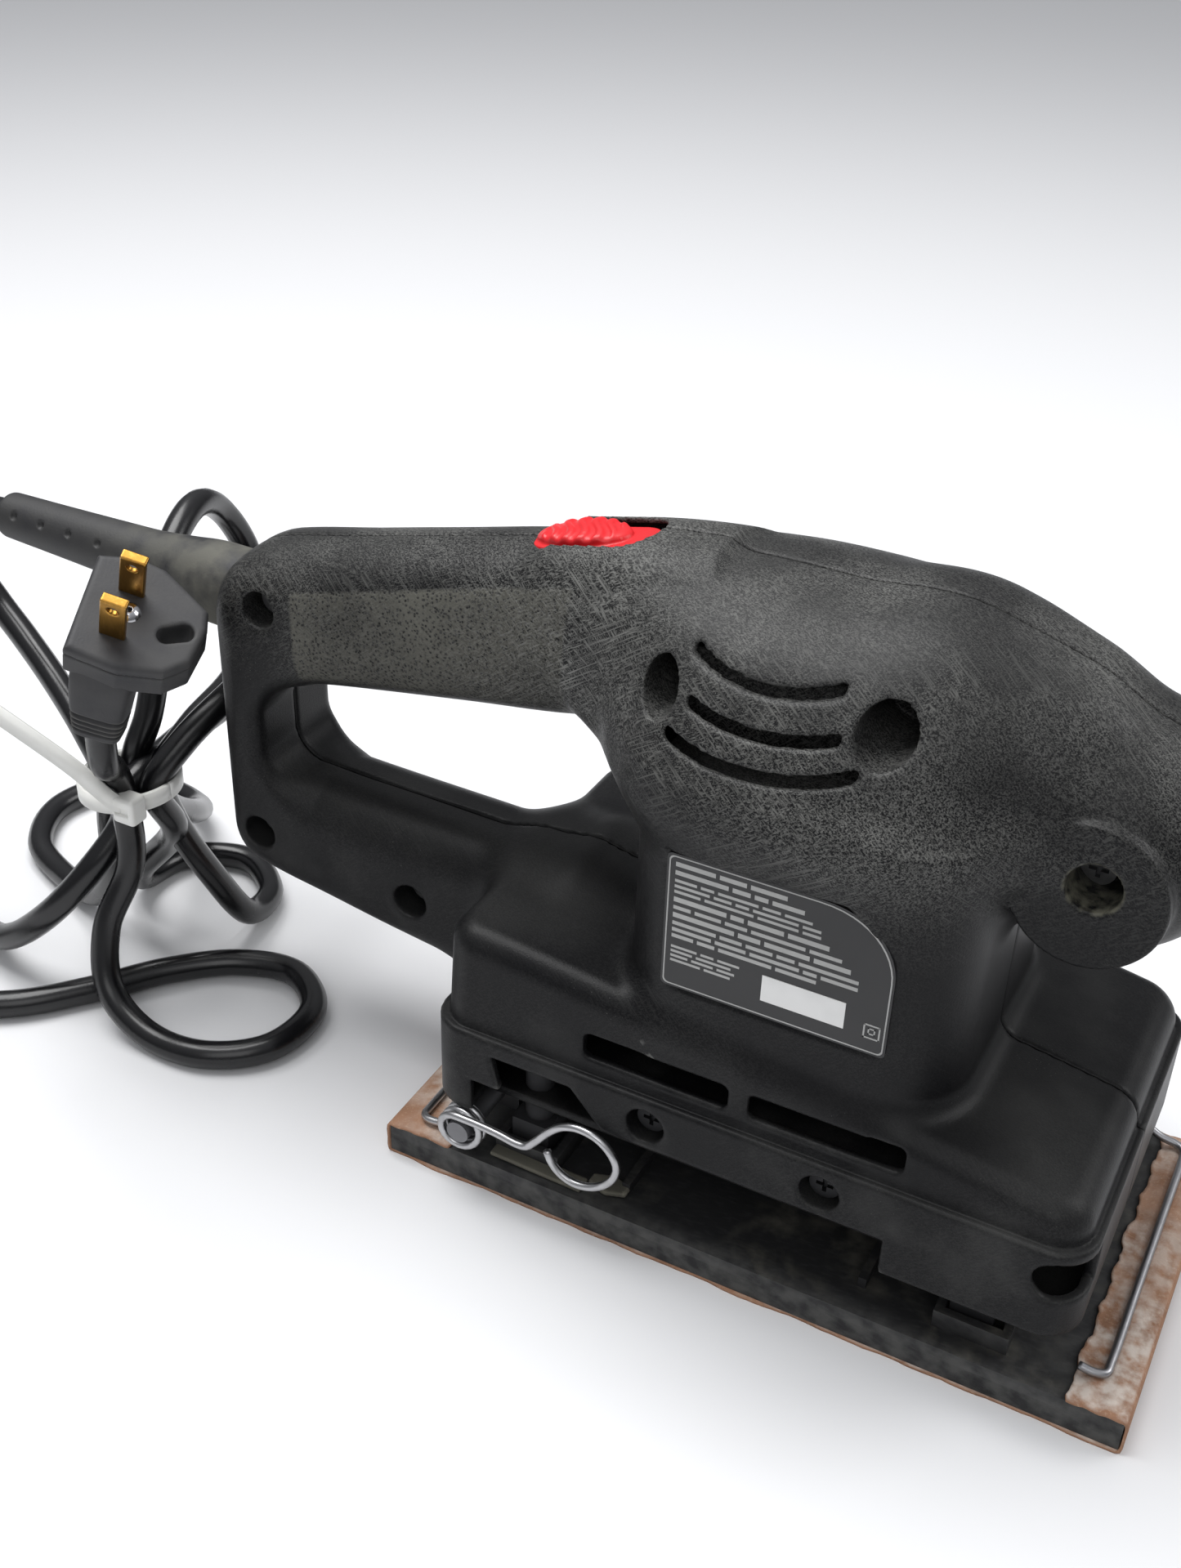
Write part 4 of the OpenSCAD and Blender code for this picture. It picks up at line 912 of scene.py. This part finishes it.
# the stretch at the guard and the one in the plug's neck keep their heights
at_guard, at_plug = 5, 3
lifted = [(x, y, lift(z)) for x, y, z in ROUTE[at_guard:-at_plug]]
line = spline(ROUTE[:at_guard] + lifted + ROUTE[-at_plug:], 8)
cu = bpy.data.curves.new("cord", "CURVE")
cu.dimensions = "3D"
cu.bevel_depth = CORD_RADIUS * MM
cu.bevel_resolution = 5
cu.use_fill_caps = True
sp = cu.splines.new("POLY")
sp.points.add(len(line) - 1)
sp.points.foreach_set("co", np.c_[line * MM, np.ones(len(line))].ravel())
sp.use_smooth = True
cord = bpy.data.objects.new("cord", cu)
scene.collection.objects.link(cord)
place(cord, "cord_skin", "housing", "power_cord", "cord_hank", "plug_cord")

# nylon tie round the hank: strap, head and the long tail
TC = np.array((-190.0, -18.0, 64.0))
LOOP_RADIUS = 13.2


def strap_ring(half_thick, half_wide):
    return [(a * half_thick, b * half_wide) for a, b in ((-1, -1), (1, -1), (1, 1), (-1, 1))]


def head_form(x, y, z):
    """Block with round edges and the strap's window."""
    block = round_max(round_max(np.abs(x) - 3.6, np.abs(y) - 3.0, 1.2), np.abs(z) - 3.9, 1.2)
    window = np.maximum(np.abs(x + 0.4) - 2.3, np.maximum(np.abs(z) - 1.1, y + 2.0))
    return np.maximum(block, -window)


turns = np.linspace(0, 2 * math.pi, 61)[:-1]
loop = [
    TC + np.array((LOOP_RADIUS * math.cos(t), LOOP_RADIUS * math.sin(t), 0.8 * math.cos(t))) for t in turns
]
loop += loop[:1]
tie = sweep("tie_strap", loop, strap_ring(0.65, 2.3), [(0, 0, 1)] * len(loop))
HEAD = TC + np.array((9.4, -11.4, 0.6))
TAIL = spline([
    HEAD, HEAD + (-3, -2.4, 2.6), (-190, -36.5, 77), (-203, -41, 87.5), (-219, -44, 96.5), (-235, -46, 102.5),
], 8)
tail = sweep("tie_tail", TAIL, strap_ring(0.6, 2.2), [np.array((0.35, 0.45, 0.82))] * len(TAIL))
head = solid("tie_head", head_form, (-4, -4, -4.4), (4, 4, 4.4), 0.3, None, HEAD)
place(tie, "nylon_white", "housing", "cable_tie")
for ob in (tail, head):
    place(ob, "nylon_white", "housing")


# rating plate: dark film with a pale border, printed blocks in place of lettering, and a blank sticker
def plate_outline(inset):
    """Three small corners and, at the front above, a long curve."""
    x0, x1, z0, z1 = -21.6 + inset, 29.4 - inset, 79.2 + inset, 113.4 - inset
    small = 1.2

    def corner(cx, cz, start):
        turns = [math.radians(start + k * 15) for k in range(7)]
        return [(cx + small * math.cos(a), cz + small * math.sin(a)) for a in turns]

    pts = corner(x0 + small, z0 + small, 180) + corner(x1 - small, z0 + small, 270)
    r = 17 - inset * 0.4
    for k in range(13):
        a = math.radians(k * 7.5)
        along = math.cos(a) ** 0.9 if k < 12 else 0
        pts.append((x1 - r + r * along, z1 - r * 0.86 + r * 0.86 * math.sin(a)))
    return pts + corner(x0 + small, z1 - small, 90)


def slab(name, pts, y0, y1, hole=None):
    """Flat plate between two y; a hole has as many points as the outline."""
    n = len(pts)
    rings = (pts, hole) if hole else (pts,)
    v = [(x, y, z) for ring in rings for y in (y0, y1) for x, z in ring]
    f = [(i, (i + 1) % n, n + (i + 1) % n, n + i) for i in range(n)]
    if hole:
        f += [(2 * n + (i + 1) % n, 2 * n + i, 3 * n + i, 3 * n + (i + 1) % n) for i in range(n)]
        f += [((i + 1) % n, i, 2 * n + i, 2 * n + (i + 1) % n) for i in range(n)]
        f += [(n + i, n + (i + 1) % n, 3 * n + (i + 1) % n, 3 * n + i) for i in range(n)]
    else:
        f += [tuple(range(n - 1, -1, -1)), tuple(range(n, 2 * n))]
    return mesh_object(name, np.array(v) * MM, f, smooth=False)


def rect(x, z, w, h):
    return [(x, z), (x + w, z), (x + w, z + h), (x, z + h)]


plate = slab("rating_plate", plate_outline(0), -41.2, -41.9)
place(plate, "label", "housing", "rating_label")
FIN["ink"] = plain_finish("label_ink", (0.42, 0.42, 0.41), 0.5, 0, 900, 0.01)
INK_Y = (-41.85, -41.96)
CUBE = ((0, 1, 2, 3), (7, 6, 5, 4), (1, 0, 4, 5), (2, 1, 5, 6), (3, 2, 6, 7), (0, 3, 7, 4))
ink_points, ink_faces = [], []


def block(x, z, w, h):
    k = len(ink_points)
    ink_points.extend([(p, q, r) for q in INK_Y for p, r in rect(x, z, w, h)])
    ink_faces.extend([tuple(k + a for a in side) for side in CUBE])


# rows of blocks: height on the plate, height of the blocks, their lengths
ROWS = [
    (110.4, 1.1, (9, 6, 8)), (108.3, 1.1, (12, 4, 3, 7)), (106.5, 0.7, (5, 3, 9, 4, 6)),
    (105.1, 0.7, (8, 4, 3, 10, 4)), (103.7, 0.7, (6, 11, 9, 4)), (101.5, 1.2, (12, 3, 8, 9)),
    (99.6, 0.9, (4, 6, 5, 12, 7)), (97.5, 1.2, (14, 5, 10, 8)), (95.6, 0.9, (10, 5, 6, 4, 13)),
    (93.9, 0.9, (9, 7, 11, 3, 8)), (92.3, 0.9, (5, 4, 12, 9)), (89.6, 0.6, (6, 3, 5)),
    (88.4, 0.6, (5, 8)), (87.2, 0.6, (4, 5, 4)), (86.0, 0.6, (7, 6)),
]
for z, h, lengths in ROWS:
    x = -19.6
    # the plate's long curve cuts the upper rows short
    limit = 27.2 - max(0, (z - 97)) * 0.62
    for w in lengths:
        w = min(w, limit - x)
        if w > 1.5:
            block(x, z, w, h)
        x += w + 0.9
# two squares, one in the other: corner, side, line width, and the step to the far line
for x, z, side, line_w, far in ((24.2, 83.2, 3.6, 0.35, 3.3), (25.2, 84.3, 1.6, 0.3, 1.3)):
    for step in (0, far):
        block(x, z + step, side, line_w)
    for step in (0, far):
        block(x + step, z, line_w, side)
ink = mesh_object("plate_blocks", np.array(ink_points) * MM, ink_faces, smooth=False)
place(ink, "ink", "housing")
border = slab("plate_border", plate_outline(0.5), -41.86, -41.96, plate_outline(0.8))
place(border, "ink", "housing")
tag = slab("blank_sticker", rect(1.5, 83.6, 18.5, 6.6), -41.9, -42.06)
place(tag, "sticker", "housing", "serial_sticker")


# ---------------------------------------------------------------- clamps, sheet, deck
def make_clamp(name, slot_name, body, turned):
    """One bent wire: lever, coil on its pin, and the bar that holds the sheet."""
    wire_radius, coil_radius = 1.0, 5.0
    lever_y = -48.7
    # lever: leaves the coil's top, dips, kinks up and ends in an open loop
    lever = [
        (-69.3, 23.6), (-64, 23.7), (-58, 23.4), (-53, 22.8), (-50.4, 23.2), (-47.8, 26), (-44.6, 30.2),
        (-41, 33.6), (-36.8, 35.1), (-32, 34.4), (-28.4, 31.6), (-26.6, 27.8), (-27.4, 23.8), (-29.8, 20.6),
        (-33.4, 18.3), (-37.6, 17.6), (-41.2, 19.0), (-43.6, 21.6), (-44.8, 24.4),
    ]
    lever = spline([(a, lever_y - 0.3 * min(1, k / 3), b) for k, (a, b) in enumerate(lever)], 5)[::-1]
    # coil of two and three quarter turns
    coil = []
    for i in range(1, 55):
        t = i / 20
        a = math.radians(88 + 360 * t)
        coil.append((-69.5 + coil_radius * math.cos(a), lever_y + 2.15 * t, 18.6 + coil_radius * math.sin(a)))
    y1 = coil[-1][1]
    bar = [
        (-73.6, y1 + 0.6, 14.4), (-78, y1 + 0.8, 12.2), (-82.5, y1 + 1.0, 11.4), (-84.2, y1 + 2.4, 11.1),
        (-84.5, y1 + 5.5, 11.0), (-84.5, -20, 10.98), (-84.5, 10, 10.98), (-84.5, 33, 11.0),
        (-84.2, 36.4, 11.0), (-82, 37.6, 11.2), (-78.5, 37.8, 11.8),
    ]
    path = np.vstack([lever, coil, spline(bar, 5)])
    if turned:
        path = path * (-1, -1, 1) + (2, 0, 0)
    ob = sweep(name + "_bent", path, round_ring(wire_radius, 14))
    return place(ob, slot_name, body, name)


make_clamp("rear_paper_clamp", "clamp_wire_bright", "rear_clamp", False)
make_clamp("front_paper_clamp", "clamp_wire_grey", "front_clamp", True)


def ragged(s, seed, amp, length=9.0):
    """Torn edge: sums of waves of incommensurate lengths, with a few larger bites."""
    v = 0
    for k, (w, h) in enumerate(((1.0, 0.5), (0.43, 0.28), (0.19, 0.16), (0.083, 0.1))):
        v = v + h * math.sin(2 * math.pi * s / (length * w) + seed * (k + 1.7) + 1.3 * k)
    bite = max(0.0, math.sin(2 * math.pi * s / 41.0 + seed * 2.1) - 0.55) * 2.0
    return amp * (v - bite)


def make_sheet():
    """The sheet's middle line in the side view, thickened and given ragged edges all round."""
    x0, x1, thick = -91.0, 93.0, 0.62
    prof = []
    n = 16
    for i in range(n + 1):
        prof.append((x0 + 17.5 - 16.3 * i / n, 9.55 - 0.16 * math.sin(i * 0.9)))
    prof += [
        (x0 + 0.1, 9.35), (x0 - 0.45, 8.7), (x0 - 0.62, 7.2), (x0 - 0.62, 4.5), (x0 - 0.6, 2.0),
        (x0 - 0.35, 0.7), (x0 + 0.5, 0.4),
    ]
    m = 90
    for i in range(1, m):
        prof.append((x0 + 0.5 + (x1 - x0 - 1.0) * i / m, 0.36))
    prof += [
        (x1 - 0.5, 0.4), (x1 + 0.35, 0.7), (x1 + 0.6, 2.0), (x1 + 0.62, 4.5), (x1 + 0.62, 7.2),
        (x1 + 0.45, 8.7), (x1 - 0.1, 9.35),
    ]
    for i in range(n, -1, -1):
        prof.append((x1 - 12.5 + 11.3 * i / n, 9.55 - 0.16 * math.sin(i * 0.9)))
    p = np.array([(a, 0.0, b) for a, b in prof])
    s = np.r_[0, np.cumsum(np.linalg.norm(np.diff(p, axis=0), axis=1))]
    tan = np.gradient(p, axis=0)
    tan /= np.linalg.norm(tan, axis=1)[:, None]
    nrm = np.c_[tan[:, 2], np.zeros(len(p)), -tan[:, 0]]
    cols = 64
    pts = []
    for side in (1, -1):
        for i in range(len(p)):
            e0 = -46.35 + ragged(s[i], 0.7, 0.34, 27)
            e1 = 46.35 + ragged(s[i], 2.9, 0.34, 31)
            e0, e1 = max(e0, -47.3), min(e1, 47.3)
            for j in range(cols + 1):
                y = e0 + (e1 - e0) * j / cols
                q = p[i] + nrm[i] * (side * thick / 2)
                # the sheet's two ends are torn as well
                if i < 2:
                    q = q + tan[i] * ragged(y + 60, 4.4, 0.7, 13)
                elif i > len(p) - 3:
                    q = q - tan[i] * ragged(y + 60, 1.9, 0.7, 13)
                pts.append((q[0], y, max(q[2], 0.02)))
    k = cols + 1
    other = len(p) * k
    faces = []
    for i in range(len(p) - 1):
        for j in range(cols):
            a = i * k + j
            b = a + other
            faces += [(a, a + 1, a + k + 1, a + k), (b, b + k, b + k + 1, b + 1)]
        a, b = i * k, i * k + cols
        faces += [(a, a + k, a + k + other, a + other), (b + other, b + k + other, b + k, b)]
    for j in range(cols):
        a = other - k + j
        faces += [(j + 1, j, j + other, j + 1 + other), (a, a + 1, a + 1 + other, a + other)]
    return mesh_object("paper_sheet", np.array(pts) * MM, faces)


place(make_sheet(), "abrasive", "platen", "sandpaper")


# dusty leaf under the lever and a strip beside it, pressed from the bracket's sheet
def leaf_form(x, y, z):
    leaf = np.maximum(np.abs(x + 51) - 12.5, np.abs(y + 41.6) - 2.3)
    leaf = round_max(leaf, np.abs(z - 10.0 + 0.03 * (x + 51)) - 0.6, 0.3)
    strip = np.maximum(np.abs(x + 33) - 5, np.abs(y + 38.8) - 3.2 + np.abs(x + 33) * 0.35)
    strip = round_max(strip, np.abs(z - 10.1) - 0.7, 0.4)
    return np.minimum(leaf, strip)


leaf = solid("deck_leaf", leaf_form, (-64, -44, 8.8), (-27, -35, 11.4), 0.4)
leaf.data.materials.append(
    plain_finish("dusty_leaf", (0.10, 0.095, 0.075), 0.8, 0.0, 700, 0.1, (0.3, 0.28, 0.22), 0.95)
)
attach(leaf, "platen")


# ---------------------------------------------------------------- floor and light
def make_floor():
    me = bpy.data.meshes.new("floor")
    s = 3.0
    me.from_pydata([(-s, -s, 0), (s, -s, 0), (s, s, 0), (-s, s, 0)], [], [(0, 1, 2, 3)])
    ob = bpy.data.objects.new("floor", me)
    scene.collection.objects.link(ob)
    m = bpy.data.materials.new("floor")
    m.use_nodes = True
    b = m.node_tree.nodes["Principled BSDF"]
    b.inputs["Base Color"].default_value = (0.77, 0.773, 0.785, 1)
    b.inputs["Roughness"].default_value = 0.55
    me.materials.append(m)


def make_world():
    """White light from above that fades towards the floor; the camera itself sees an even pale grey."""
    world = bpy.data.worlds.new("world")
    world.use_nodes = True
    t = world.node_tree
    bg = t.nodes["Background"]
    bg.inputs[0].default_value = (0.95, 0.965, 1.0, 1)
    geo = t.nodes.new("ShaderNodeTexCoord")
    sep = t.nodes.new("ShaderNodeSeparateXYZ")
    t.links.new(geo.outputs["Generated"], sep.inputs[0])
    mr = t.nodes.new("ShaderNodeMapRange")
    for k, q in zip((1, 2, 3, 4), (0.0, 0.9, 0.10, 0.60)):
        mr.inputs[k].default_value = q
    t.links.new(sep.outputs[2], mr.inputs[0])
    seen = t.nodes.new("ShaderNodeLightPath")
    mix = t.nodes.new("ShaderNodeMix")
    mix.inputs[3].default_value = 0.80
    t.links.new(seen.outputs["Is Camera Ray"], mix.inputs[0])
    t.links.new(mr.outputs[0], mix.inputs[2])
    t.links.new(mix.outputs[0], bg.inputs[1])
    scene.world = world


def make_lights():
    target = Vector((-0.03, 0, 0.07))
    for name, loc, size, power in (
        ("key", (-0.45, 0.10, 1.25), 0.9, 18),
        ("fill", (0.35, -1.0, 0.9), 0.8, 3),
        ("side", (0.9, 0.6, 0.8), 0.6, 5),
    ):
        lamp = bpy.data.lights.new(name, "AREA")
        lamp.energy, lamp.size = power, size
        o = bpy.data.objects.new(name, lamp)
        o.location = loc
        o.rotation_euler = (target - Vector(loc)).to_track_quat("-Z", "Y").to_euler()
        scene.collection.objects.link(o)


make_floor()
make_world()
make_lights()
scene.view_settings.view_transform = "Standard"
